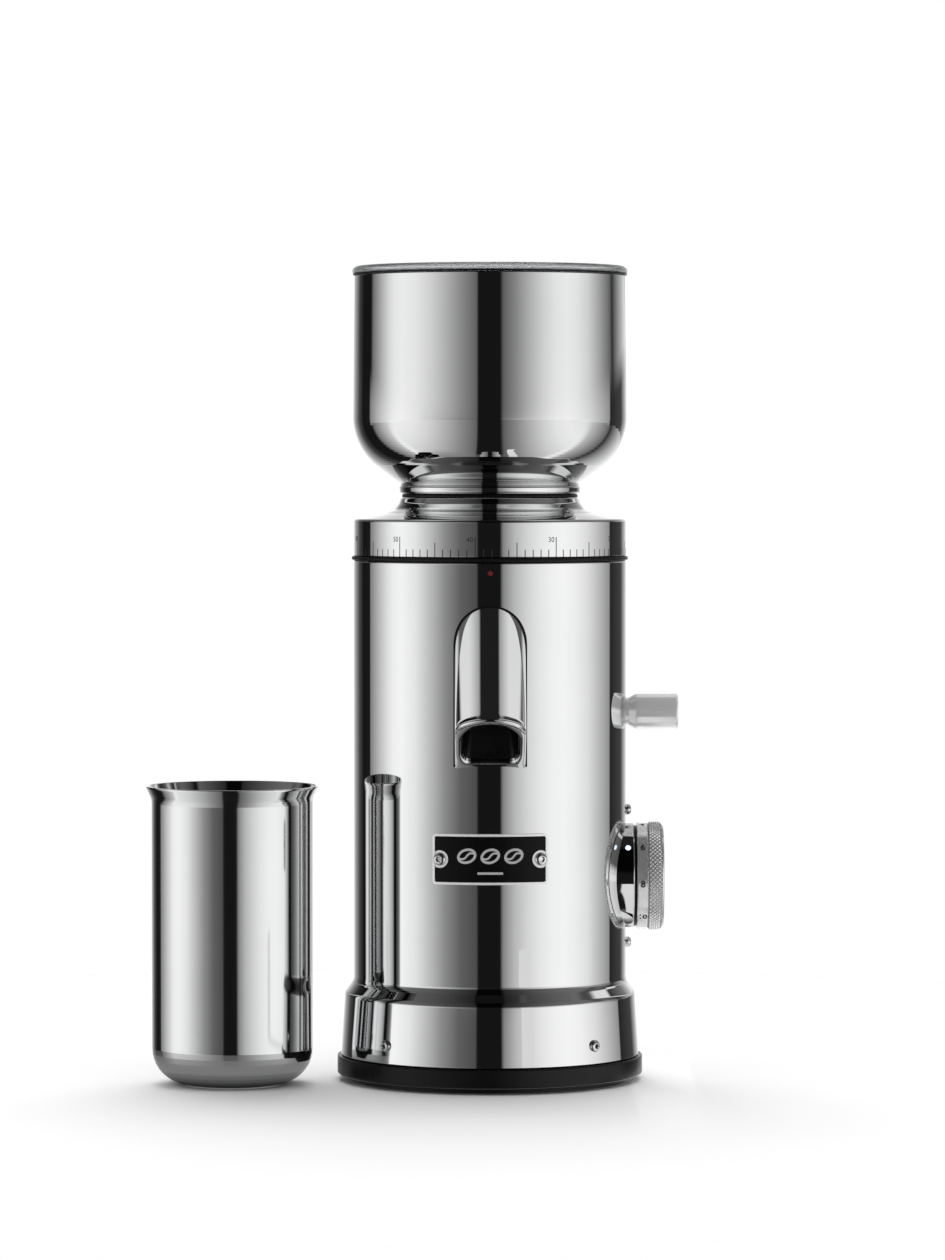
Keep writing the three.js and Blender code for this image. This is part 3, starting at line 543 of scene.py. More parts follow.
piece(
    turned("foot", [(0, 0), (FOOT_R, 0, 0.5), (FOOT_R, FOOT_TOP, 0.3), (0, FOOT_TOP)]),
    "grinder", RUBBER, ["foot_pad"],
)
piece(
    turned(
        "base",
        [(44, BASE_BOTTOM), (BASE_R, BASE_BOTTOM, 0.9), (BASE_R, BASE_TOP, 0.6), (SHELL_R - 2, BASE_TOP),
         (44, BASE_TOP)],
        segments=180, closed=True,
    ),
    "grinder", BLACK, ["base_ring"],
)


def drum():
    """The steel shell with its flared skirt, its rolled-in top and the port behind the spout."""
    wall = 1.2
    port_low, port_high = PORT_Z
    outer = [(SKIRT_R - wall, SHELL_BOTTOM), (SKIRT_R, SHELL_BOTTOM, 0.35), (SKIRT_R - 1.5, FLARE, 3.5),
             (SHELL_R, FLARE + 5, 5), (SHELL_R, port_low), (SHELL_R, port_high), (SHELL_R, SHELL_TOP, 0.8)]
    inner = [(48, SHELL_TOP), (48, SHELL_TOP - wall), (SHELL_R - wall, SHELL_TOP - wall, 0.5),
             (SHELL_R - wall, port_high), (SHELL_R - wall, port_low), (SHELL_R - wall, FLARE + 5.3, 4),
             (SKIRT_R - wall - 1.5, FLARE + 0.2, 4)]
    made = turned_mesh(outer + inner, 180, closed=True)
    port = []
    for face in made.faces:
        middle = face.calc_center_median() / MM
        angle = math.degrees(math.atan2(middle.x, -middle.y))
        if abs(angle) < 10 and port_low < middle.z < port_high:
            port.append(face)
    bmesh.ops.delete(made, geom=port, context="FACES")
    bmesh.ops.bridge_loops(made, edges=[e for e in made.edges if e.is_boundary])
    return placed(made, "drum_shell")


piece(drum(), "grinder", STEEL, ["housing"])
seal_low, seal_high = SHELL_TOP + 0.05, DIAL_BOTTOM - 0.15
seal_r = radius_of("dial_seal")
piece(
    turned("seal_under_dial", [(47, seal_low), (seal_r, seal_low, 0.6), (seal_r, seal_high, 0.6),
                               (47, seal_high)],
           closed=True),
    "grinder", RUBBER, ["dial_seal"],
)
dot_low, dot_high = span("index_dot")
piece(
    turned("index_mark", [(0, 0), (0.93, 0), (0.95, 0.12, 0.1), (0.7, 0.42, 0.4), (0, 0.5)], 32,
           matrix=outward(0, (dot_low[2] + dot_high[2]) / 2) @ Matrix.Translation((0, 0,
                                                                                   (SHELL_R - 0.05) * MM))),
    "grinder", RED, ["index_dot"],
)

# ---- Dial and its scale ----

piece(
    turned(
        "dial",
        [(DIAL_R, DIAL_BOTTOM, 0.5), (DIAL_R, DIAL_BOTTOM + 14.3, 1.1), (42, DIAL_BOTTOM + 16.7, 9),
         (37.4, DIAL_TOP - 4.4, 3), (35.6, DIAL_TOP - 2, 2), (34.9, DIAL_TOP, 0.3), (THROAT_R, DIAL_TOP, 0.6),
         (THROAT_R, DIAL_BOTTOM + 12, 0.4), (51.3, DIAL_BOTTOM + 12, 0.8), (51.3, DIAL_BOTTOM, 0.3)],
        segments=180, closed=True,
    ),
    "dial", STEEL, ["grind_dial"],
)

SCALE_TURN = 3.45
SCALE_AT_FRONT = 38.2


def dial_scale():
    """The 0 to 60 scale: long, middle and short lines, and a numeral beside each long line."""
    made = bmesh.new()
    for value in range(61):
        across = -math.radians((value - SCALE_AT_FRONT) * SCALE_TURN) * DIAL_R
        tall = 7.9 if value % 10 == 0 else 5.8 if value % 5 == 0 else 3.1
        steps = [(across, DIAL_BOTTOM + 0.3 + (tall - 0.3) * k / 4) for k in range(5)]
        stroke(made, steps, 0.34, -0.1, 0.02)
        if value % 10 == 0:
            lettering(made, str(value), 2.75, (across - 0.75, DIAL_BOTTOM + 6.85), -0.1, 0.02, "RIGHT")
    return bent(made, "dial_scale", round_drum(DIAL_R, 0))


piece(dial_scale(), "dial", INK)

# ---- Hopper and lid ----

gasket_low, gasket_high = DIAL_TOP + 0.1, HOPPER_BOTTOM - 0.1
piece(
    turned("neck_gasket",
           [(THROAT_R + 1, gasket_low), (34.4, gasket_low, 0.5), (34.4, gasket_high, 0.5),
            (THROAT_R + 1, gasket_high)], closed=True),
    "hopper_set", RUBBER, ["hopper_gasket"],
)


def hopper():
    """The steel hopper: neck ring, flared cone, round shoulder, straight wall and open top."""
    wall, shoulder, low = 1.2, 25.5, HOPPER_BOTTOM
    tip = HOPPER_R + 0.3 - shoulder
    knee = low + 30.5
    slope = math.radians(37)
    angles = [math.radians(-49 + 45 * k / 18) for k in range(19)]

    def shoulder_at(radius):
        return [(tip + radius * math.cos(a), knee + radius * math.sin(a)) for a in angles]

    outer = [(35.3, low, 1.1), (35.5, low + 3.2, 1.3), (34.4, low + 3.6, 0.5)]
    arc = shoulder_at(shoulder)
    outer += [(arc[0][0] - 8.3 * math.cos(slope), arc[0][1] - 8.3 * math.sin(slope), 2.6)]
    outer += arc[:-1] + [(*arc[-1], 0.2)]
    outer += [(HOPPER_R - 0.25, HOPPER_TOP, 0.4), (HOPPER_R - 0.25 - wall, HOPPER_TOP, 0.3)]
    inner = shoulder_at(shoulder - wall)[::-1] + [(THROAT_R, low + 6, 2), (THROAT_R, low)]
    return turned("hopper_bowl", outer + inner, segments=180, closed=True)


piece(hopper(), "hopper_set", STEEL, ["hopper"])
lid_seal_low, lid_seal_high = heights("lid_seal")
piece(
    turned("lid_gasket",
           [(radius_of("lid_seal") - 1.5, lid_seal_low), (radius_of("lid_seal"), lid_seal_low, 0.25),
            (radius_of("lid_seal"), lid_seal_high, 0.25), (radius_of("lid_seal") - 1.5, lid_seal_high)],
           closed=True),
    "hopper_set", RUBBER, ["lid_seal"],
)
piece(
    turned(
        "lid_cover",
        [(0, LID_TOP), (44, LID_TOP, 6), (LID_R - 1.2, LID_TOP - 0.3, 0.8), (LID_R - 0.2, LID_TOP - 1.3, 0.6),
         (LID_R, LID_BOTTOM, 0.4), (51, LID_BOTTOM, 0.4), (51, LID_BOTTOM - 6.4, 0.5),
         (48.6, LID_BOTTOM - 6.4, 0.5),
         (48.6, LID_TOP - 1.8, 1), (0, LID_TOP - 1.8)],
        segments=180,
    ),
    "lid_set", CLEAR, ["lid"],
)

# ---- Spout ----

SPOUT_HALF = 13.5
NOSE = 16.2
LEAN = 40.7 / 41.7
RIDGE_TOP = 186.3
MOUTH_SLOPE = 0.4717
MOUTH_AT_SHELL = 125.1
BACK = math.sqrt(SHELL_R ** 2 - SPOUT_HALF ** 2)


def mouth_height(depth):
    return MOUTH_AT_SHELL + (depth - SHELL_R) * MOUTH_SLOPE


def leaning_line(x, forward):
    """Where the line of the nose that starts `forward` of the section's centre meets shell and mouth."""
    shell = math.sqrt(SHELL_R ** 2 - x ** 2)
    base = SHELL_R - NOSE + forward
    top = (shell, RIDGE_TOP - (shell - base) / LEAN)
    depth = (base + LEAN * (RIDGE_TOP - MOUTH_AT_SHELL + SHELL_R * MOUTH_SLOPE)) / (1 + LEAN * MOUTH_SLOPE)
    return top, (depth, mouth_height(depth))


def spout():
    """The leaning steel spout: rounded nose, flat sides, a rolled rim at the mouth and the tunnel inside."""
    nose_steps, side_steps, rear_steps, rows = 48, 8, 14, 28
    slope = math.atan(MOUTH_SLOPE)
    out = Vector((0, -math.sin(slope), -math.cos(slope)))
    nose = []
    for k in range(nose_steps + 1):
        u = math.pi * (k / nose_steps - 0.5)
        x = SPOUT_HALF * math.sin(u)
        top, low = leaning_line(x, NOSE * math.cos(u))
        nose.append((Vector((x, -top[0], top[1])), Vector((x, -low[0], low[1]))))
    grid = []
    edge = 1.0
    for row in range(rows + 1):
        t = row / rows
        points = []
        for side in (-1, 1):
            corner = nose[0] if side < 0 else nose[-1]
            at_nose = corner[0].lerp(corner[1], t)
            foot = Vector((side * SPOUT_HALF, -BACK, mouth_height(BACK)))
            at_shell = corner[0].lerp(foot, t)
            wall = [at_shell.lerp(at_nose, k / side_steps) for k in range(side_steps)]
            if side < 0:
                points += wall
                points += [a.lerp(b, t) for a, b in nose]
            else:
                points += wall[::-1]
        grid.append(points)
    # The mouth end is drawn in by the rim's height, so that the rim ends on the mouth's plane.
    grid[-1] = [p - out * edge for p in grid[-1]]
    made = loft(grid, closed=False)

    outer = list(grid[-1])
    right, left = outer[-1], outer[0]
    rear = []
    for k in range(1, rear_steps):
        x = right.x + (left.x - right.x) * k / rear_steps
        y = -math.sqrt(SHELL_R ** 2 - x ** 2)
        rear.append(Vector((x, y, mouth_height(-y))) - out * edge)
    outer += rear

    # The inner opening, point for point with the outer loop.
    half, front, back_edge = 11.2, 90.3, 56.7
    centre = front - 15
    side = []
    for k in range(side_steps):
        a = math.pi / 10 * min(k, 5)
        straight = (centre - back_edge - 7) * max(k - 5, 0) / (side_steps - 5)
        side.append((8 + (half - 8) * math.sin(a), back_edge + 7 * (1 - math.cos(a)) + straight))
    inner = [(-x, d) for x, d in side]
    for k in range(nose_steps + 1):
        u = math.pi * (k / nose_steps - 0.5)
        inner.append((half * math.sin(u), centre + 15 * math.cos(u)))
    inner += side[::-1]
    for k in range(1, rear_steps):
        inner.append((8 - 16 * k / rear_steps, back_edge))
    inner = [Vector((x, -d, mouth_height(d))) - out * edge for x, d in inner]

    def rolled(p, q, a):
        way = q - p
        return p + way.normalized() * min(1.4, way.length / 2) * (1 - math.cos(a)) + out * edge * math.sin(a)

    rim = []
    for k in range(6):
        rim.append([rolled(p, q, math.pi / 10 * k) for p, q in zip(outer, inner)])
    for k in reversed(range(6)):
        rim.append([rolled(q, p, math.pi / 10 * k) for p, q in zip(outer, inner)])
    low, high = PORT_Z[0] + 1.5, PORT_Z[1] - 1.5
    middle = Vector((0, -(SHELL_R - 1), (low + high) / 2))
    window = []
    for q in inner:
        way = Vector((q.x / half, 0, (-q.y - (front + back_edge) / 2) / ((front - back_edge) / 2)))
        reach = max(abs(way.x), abs(way.z))
        way = way / max(way.length, 1e-6) * (0.35 + 0.65 * way.length / reach if reach else 1)
        window.append(middle + Vector((way.x * 8.6, 0, way.z * (high - low) / 2)))
    tunnel = [[q.lerp(w, k / 12) for q, w in zip(inner, window)] for k in range(13)]

    def shrunk(loop, gap):
        centre = sum(loop, Vector()) / len(loop)
        return [p + (centre - p).normalized() * gap for p in loop]

    # Painted shade: a thin black sleeve lines the steel tunnel so that the inside of the spout stays dark.
    lined = [[p.lerp(q, 0.3) for p, q in zip(*tunnel[:2])]] + tunnel[1:-1]
    sleeve = [shrunk(loop, 0.15) for loop in lined] + [shrunk(loop, 0.5) for loop in reversed(lined)]
    shade_liner = placed(loft(sleeve + sleeve[:1]), "spout_shade_liner", sharp=50)
    for loops in (rim, tunnel):
        mesh = bpy.data.meshes.new("part")
        part = loft(loops)
        part.to_mesh(mesh)
        part.free()
        made.from_mesh(mesh)
        bpy.data.meshes.remove(mesh)
    bmesh.ops.remove_doubles(made, verts=made.verts, dist=1e-6)
    bmesh.ops.bridge_loops(made, edges=[e for e in made.edges if e.is_boundary])
    return placed(made, "spout_body", sharp=50), shade_liner


spout_body, spout_shade_liner = spout()
piece(spout_body, "grinder", STEEL, ["spout"])
# The black sleeve is painted shade inside the spout.
piece(spout_shade_liner, "grinder", BLACK)


def spout_seal():
    """A thin black seal that follows the spout's joint with the drum."""
    line = []
    for k in range(41):
        u = math.pi * (k / 40 - 0.5)
        x = SPOUT_HALF * math.sin(u)
        top, low = leaning_line(x, NOSE * math.cos(u))
        line.append((SHELL_R * math.asin(x / SHELL_R), top[1]))
    side = line[0][0]
    foot = mouth_height(BACK) + 0.8
    left = [(side, foot + (line[0][1] - foot) * k / 12) for k in range(12)]
    right = [(-x, z) for x, z in reversed(left)]
    made = bmesh.new()
    stroke(made, left + line + right, 1.1, -0.2, 0.3)
    return bent(made, "spout_seal", round_drum(SHELL_R, 0))


piece(spout_seal(), "grinder", RUBBER, ["spout_gasket"])

# ---- Nameplate ----

PLATE_HALF = 22.3
PLATE_EDGE = 0.9
PLATE_SCREW = math.radians(20.9) * SHELL_R


def rounded_rectangle(half_x, half_y, r, steps=6):
    points = []
    for k in range(4):
        sx, sy = ((1, 1), (-1, 1), (-1, -1), (1, -1))[k]
        for i in range(steps + 1):
            a = math.pi / 2 * (k + i / steps)
            points.append((sx * (half_x - r) + r * math.cos(a), sy * (half_y - r) + r * math.sin(a)))
    return points


def nameplate_frame():
    made = bmesh.new()
    half_y = PLATE_TALL / 2
    flat_solid(made, rounded_rectangle(PLATE_HALF - 0.1, half_y - 0.1, 1.1), 0, 0.85)
    inset = PLATE_EDGE / 2
    line = []
    corners = rounded_rectangle(PLATE_HALF - inset, half_y - inset, 0.9)
    for a, b in zip(corners, corners[1:] + corners[:1]):
        steps = max(1, round(math.dist(a, b) / 0.8))
        line += [(a[0] + (b[0] - a[0]) * k / steps, a[1] + (b[1] - a[1]) * k / steps) for k in range(steps)]
    stroke(made, line, PLATE_EDGE, 0, 1.25, closed=True)
    bmesh.ops.bevel(
        made, geom=[e for e in made.edges if len(e.link_faces) == 2 and e.calc_face_angle(0) > 1.2
                    and min(v.co.z for v in e.verts) > 1.2],
        offset=0.22, segments=3, affect="EDGES",
    )
    return bent(made, "nameplate_bezel", round_drum(SHELL_R, PLATE_Z), sharp=40)


def nameplate_field():
    """The black field with a round notch at each screw."""
    half_x = PLATE_HALF - PLATE_EDGE - 0.02
    half_y = PLATE_TALL / 2 - PLATE_EDGE - 0.02
    notch, corner = 3.4, 0.8
    rise = math.sqrt(notch ** 2 - (half_x - PLATE_SCREW) ** 2)
    start = math.atan2(rise, half_x - PLATE_SCREW)
    right = []
    for k in range(6):
        a = math.pi / 10 * k
        right.append((half_x - corner * (1 - math.sin(a)), -half_y + corner * (1 - math.cos(a))))
    for k in range(21):
        a = -start - (TURN - 2 * start) * k / 20
        right.append((PLATE_SCREW + notch * math.cos(a), notch * math.sin(a)))
    right += [(x, -y) for x, y in reversed(right[:6])]
    outline = right + [(-x, -y) for x, y in right]
    made = bmesh.new()
    flat_solid(made, outline, 0.6, 1.0)
    return bent(made, "nameplate_panel", round_drum(SHELL_R, PLATE_Z), sharp=40)


def emblem():
    """Three plain coffee beans in a row over a short bar."""
    made = bmesh.new()
    low, high = 0.95, 1.08
    for centre in (-8.9, 0, 8.9):
        def turned_by(x, y):
            return centre + x * 0.94 - y * 0.34, 1.3 + x * 0.34 + y * 0.94

        rim = [turned_by(3.3 * math.cos(TURN * k / 40), 2.4 * math.sin(TURN * k / 40)) for k in range(40)]
        stroke(made, rim, 0.95, low, high, closed=True)
        shares = [k / 6 - 1 for k in range(13)]
        stroke(made, [turned_by(2.9 * t, 0.6 * math.sin(math.pi * t)) for t in shares], 0.75, low, high)
    stroke(made, [(-4.8 + 0.8 * k, -5.3) for k in range(13)], 0.9, low, high)
    return bent(made, "nameplate_emblem", round_drum(SHELL_R, PLATE_Z))


piece(nameplate_frame(), "grinder", BRIGHT_STEEL, ["nameplate_frame"])
piece(nameplate_field(), "grinder", FIELD, ["nameplate_field"])
piece(emblem(), "grinder", EMBLEM)
for side, node in ((-1, "nameplate_screw_left"), (1, "nameplate_screw_right")):
    piece(
        socket_screw(node + "_head", SHELL_R + 0.85, 2.55, 1.35, outward(side * 20.9, PLATE_Z)),
        "grinder", STEEL, [node],
    )

# ---- Skirt screws, power inlet ----

for k, angle in enumerate((-43.8, 43.8, 136.2, -136.2)):
    piece(
        socket_screw("skirt_screw_head_%d" % (k + 1), SKIRT_R - 0.45, 2.35, 1.4,
                     outward(angle, SKIRT_SCREW_Z)),
        "grinder", STEEL, ["skirt_screw_%d" % (k + 1)],
    )
gland_low, gland_high = span("cord_gland")
GLAND_Z = (gland_low[2] + gland_high[2]) / 2
piece(
    turned(
        "cord_sleeve",
        [(3.4, 54), (7, 54, 0.3), (7, 60, 0.6), (6.3, 60.3, 0.4), (6.1, 62, 0.4), (5.4, 62.3, 0.3),
         (5.9, 63.4, 0.4),
         (5.2, 63.9, 0.3), (5.6, 65.2, 0.4), (5.0, 65.7, 0.3), (5.3, 67, 0.4), (4.8, 67.5, 0.3),
         (5, 69.4, 0.4),
         (4.6, gland_high[1], 0.3), (3.4, gland_high[1], 0.3)],
        72, closed=True,
        matrix=Matrix.Translation(((gland_low[0] + gland_high[0]) / 2 * MM, 0, GLAND_Z * MM))
        @ Matrix.Rotation(-math.pi / 2, 4, "X"),
    ),
    "grinder", RUBBER, ["cord_gland"],
)

# ---- Selector knob ----

BEZEL_X1 = span("selector_bezel")[1][0]


def knob_seat():
    """The steel seat of the knob, which fits the round of the drum."""
    made = turned_mesh(
        [(14, 0), (KNOB_R, 0), (KNOB_R, BEZEL_X1, 0.5), (14, BEZEL_X1)], 144, closed=True)
    for v in made.verts:
        if v.co.z < 0.04:
            v.co.z = math.sqrt(SHELL_R ** 2 - (v.co.y / MM) ** 2) * MM - 0.0002
    return placed(made, "knob_seat", along_x(KNOB_Z))


piece(knob_seat(), "grinder", STEEL, ["selector_bezel"])
ring_low, ring_high = span("selector_gap_ring")
ring_r = (ring_high[2] - ring_low[2]) / 2
piece(
    turned("knob_gap_ring",
           [(12, ring_low[0]), (ring_r, ring_low[0], 0.15), (ring_r, ring_high[0], 0.15), (12, ring_high[0])],
           closed=True, matrix=along_x(KNOB_Z)),
    "grinder", RUBBER, ["selector_gap_ring"],
)
piece(
    turned(
        "knob_body",
        [(3, KNOB_X0 + 2), (16, KNOB_X0 + 2, 0.5), (16, KNOB_X0, 0.3), (KNOB_R, KNOB_X0, 0.35),
         (KNOB_R, KNOB_X0 + 4.2, 0.2), (KNOB_R - 0.6, KNOB_X0 + 4.4), (KNOB_R - 0.6, KNOB_X1 - 0.9),
         (KNOB_R - 0.3, KNOB_X1 - 0.75, 0.2), (KNOB_R - 1.0, KNOB_X1, 0.4), (KNOB_R - 3.2, KNOB_X1, 0.3),
         (KNOB_R - 3.6, KNOB_X1 - 0.35, 0.3), (0, KNOB_X1 - 0.35)],
        segments=144, matrix=along_x(KNOB_Z),
    ),
    "selector", SATIN_STEEL, ["selector_knob"],
)


def knurl(name, radius, start, end, teeth, height):
    """A sleeve of diamond knurling along Z."""
    columns = teeth * 4
    pitch = TURN * radius / teeth
    rows = max(8, round((end - start) / pitch * 4))
    made = bmesh.new()

    def ridge(s):
        s = s % 1.0
        return 1 - 2 * min(s, 1 - s) * 1.0

    rings = []
    for row in range(rows + 1):
        z = start + (end - start) * row / rows
        fade = min(1, row / 2, (rows - row) / 2)
        ring = []
        for k in range(columns):
            a = TURN * k / columns
            u, v = k / 4, (z - start) / pitch
            h = min(1 - ridge(u + v), 1 - ridge(u - v)) * 2
            r = radius - height * (1 - fade * h)
            ring.append(made.verts.new((r * MM * math.sin(a), -r * MM * math.cos(a), z * MM)))
        rings.append(ring)
    inner = []
    for z in (start, end):
        inner.append([made.verts.new(((radius - 0.9) * MM * math.sin(TURN * k / columns),
                                      -(radius - 0.9) * MM * math.cos(TURN * k / columns), z * MM))
                      for k in range(columns)])
    loops = [inner[0]] + rings + [inner[1]]
    for low, high in list(zip(loops, loops[1:])) + [(loops[-1], loops[0])]:
        for k in range(columns):
            j = (k + 1) % columns
            made.faces.new((low[k], low[j], high[j], high[k]))
    return placed(made, name, along_x(KNOB_Z), sharp=15)


def knurled_steel():
    """Brushed steel with painted shade down in the grooves of the knurl."""
    material = metal("knurled_steel", ((0.9, 0.9, 0.9), (0.97, 0.97, 0.97)), (0.22, 0.3), 2500, 0.05,
                     metallic=0.6)
    tree = material.node_tree
    nodes = Nodes(tree)
    shader = next(node for node in tree.nodes if node.type == "BSDF_PRINCIPLED")
    y, z = nodes.add("ShaderNodeSeparateXYZ", [(0, coordinates(tree))]).outputs[1:]
    away = nodes.add("ShaderNodeCombineXYZ", [(1, y), (2, nodes.math("SUBTRACT", z, KNOB_Z * MM))]).outputs[0]
    radius = nodes.add("ShaderNodeVectorMath", [(0, away)], operation="LENGTH").outputs["Value"]
    # Painted shade: the base colour darkens towards the bottom of the grooves.
    depth = nodes.ease(radius, (KNOB_R - 0.42) * MM, (KNOB_R - 0.1) * MM, 0.3, 1)
    plain = shader.inputs["Base Color"].links[0].from_socket
    shaded = nodes.add("ShaderNodeVectorMath", [(0, plain), ("Scale", depth)], operation="SCALE").outputs[0]
    tree.links.new(shaded, shader.inputs["Base Color"])
    return material


piece(knurl("knob_knurl", KNOB_R, KNOB_X0 + 4.3, KNOB_X1 - 0.7, 76, 0.5), "selector", knurled_steel())


def knob_numerals():
    """Even numerals round the plain band of the knob, upright for somebody in front of the spout."""
    made = bmesh.new()
    for value in range(0, 13, 2):
        angle = math.radians(77 - (value - 4) / 2 * 41.2)
        lettering(made, str(value), 3.5, (2.15, angle * KNOB_R), -0.1, 0.03, weight=0.04)
    return bent(made, "knob_numerals", round_knob(KNOB_R, KNOB_X0))


piece(knob_numerals(), "selector", INK)
lamp_low, lamp_high = span("selector_lamp")
LAMP_TILT = math.radians(35.6)
piece(
    turned(
        "knob_lamp", [(0, KNOB_R - 1), (1.1, KNOB_R - 1), (1.1, KNOB_R + 0.05, 0.15),
                      (0.7, KNOB_R + 0.4, 0.5),
                      (0, KNOB_R + 0.5)], 32,
        matrix=Matrix.Translation(((lamp_low[0] + lamp_high[0]) / 2 * MM, 0, KNOB_Z * MM))
        @ Matrix.Rotation(math.pi / 2 - LAMP_TILT, 4, "X"),
    ),
    "grinder", LAMP, ["selector_lamp"],
)
for height, node in ((53.5, "selector_screw_lower"), (105.5, "selector_screw_upper")):
    piece(
        socket_screw(node + "_head", SHELL_R + 0.1, 2.15, 1.9, outward(90, height)),
        "grinder", STEEL, [node],
    )

# ---- Lever ----

piece(
    turned(
        "lever_grip",
        [(0, LEVER_LOW[0]), (3, LEVER_LOW[0], 0.4), (3, 52.2), (5.4, 52.4, 0.2), (5.4, 54.4, 0.5),
         (LEVER_R, 57.3, 1.2), (LEVER_R, LEVER_X1 - 0.5, 0.3), (LEVER_R - 0.5, LEVER_X1, 0.3),
         (0, LEVER_X1)],
        96, matrix=along_x(LEVER_Z),
    ),
    "lever", BRUSHED_STEEL, ["lever_handle"],
)

# ---- Grounds cup ----

piece(
    turned(
        "cup_bowl",
        [(0, 0.5), (15, 0.5, 0.5), (15.6, 0, 0.3), (31.35, 0, 14.2), (31.4, CUP_TOP - 5.4, 6),
         (CUP_LIP_R, CUP_TOP - 0.5, 2), (CUP_LIP_R - 0.1, CUP_TOP, 0.35), (CUP_LIP_R - 0.9, CUP_TOP, 0.35),
         (30.6, CUP_TOP - 5.2, 6), (30.55, 1.3, 13.4), (0, 1.3)],
        segments=180,
        matrix=Matrix.Translation((CUP_X * MM, CUP_Y * MM, 0)),
    ),
    "cup", CUP_STEEL, ["grounds_cup"],
)

# ---- Inner pieces keep the shape of their solids ----

INNER_FINISH = {
    "polished_steel": INSIDE_STEEL, "machined_steel": TURNED_STEEL, "zinc_plate": ZINC,
    "black_plastic": BLACK,
    "black_rubber": RUBBER, "smoked_plastic": CLEAR, "nameplate_black": FIELD, "signal_red": RED,
    "lamp_white": LAMP, "grey_plastic": GREY, "circuit_board": BOARD, "white_nylon": NYLON,
}
for row in frame["record"]["subparts"]:
    node = frame["nodes"][row["node"]]
    node.data.materials.clear()
    node.data.materials.append(INNER_FINISH[row["material_slot"]])

# ---- Studio ----

# Brightness of the surroundings as shown on screen, from 0 to 1, by the angle round the grinder in degrees:
# 0 is the front and 90 the side with the knob.
PANEL_STEPS = 5
DARK = 0.08
BEHIND_GLOW = (-158, 0.59)


def soft_panel(inner, brightest, outer, inner_power=1.0, outer_power=1.0):
    """Stops across a soft panel, which fades by a power of a cosine from its brightest line to its edges."""
    peak_angle, peak = brightest
    stops = [brightest]
    for (edge_angle, edge), power in ((inner, inner_power), (outer, outer_power)):
        for k in range(1, PANEL_STEPS + 1):
            away = k / PANEL_STEPS
            share = math.cos(TURN / 4 * away) ** power
            stops.append((peak_angle + (edge_angle - peak_angle) * away, edge + (peak - edge) * share))
    return stops


# The first list is for level directions, and the second for those well above or below the horizon.
LEVEL_ROUND = sorted([
    BEHIND_GLOW, (-145, 0.27), (-135, DARK), (-122, 0.1), (-9.8, DARK), (9.3, DARK), (122, 0.14), (146, 0.25),
    *soft_panel((-11, 0.29), (-80, 0.95), (-121, 0.49), inner_power=1.8),
    *soft_panel((10.2, 0.49), (64, 0.95), (121, 0.55), inner_power=0.6),
])
OUTER_ROUND = sorted([
    BEHIND_GLOW, (-145, 0.24), (-135, DARK), (-120, DARK), (-9.8, DARK), (9.3, DARK), (126, 0.16),
    *soft_panel((-11, 0.37), (-80, 0.92), (-117, 0.42)),
    *soft_panel((10.5, 0.35), (68, 0.91), (122, 0.39)),
])
STEEL_SHINE = 0.8
UPPER_DIM = 0.16
SPOUT_LEAN = 0.934
UNDER = 0.2
FILL = 0.8
TOP_LIGHT = 3.4
BACKGROUND = 1.0


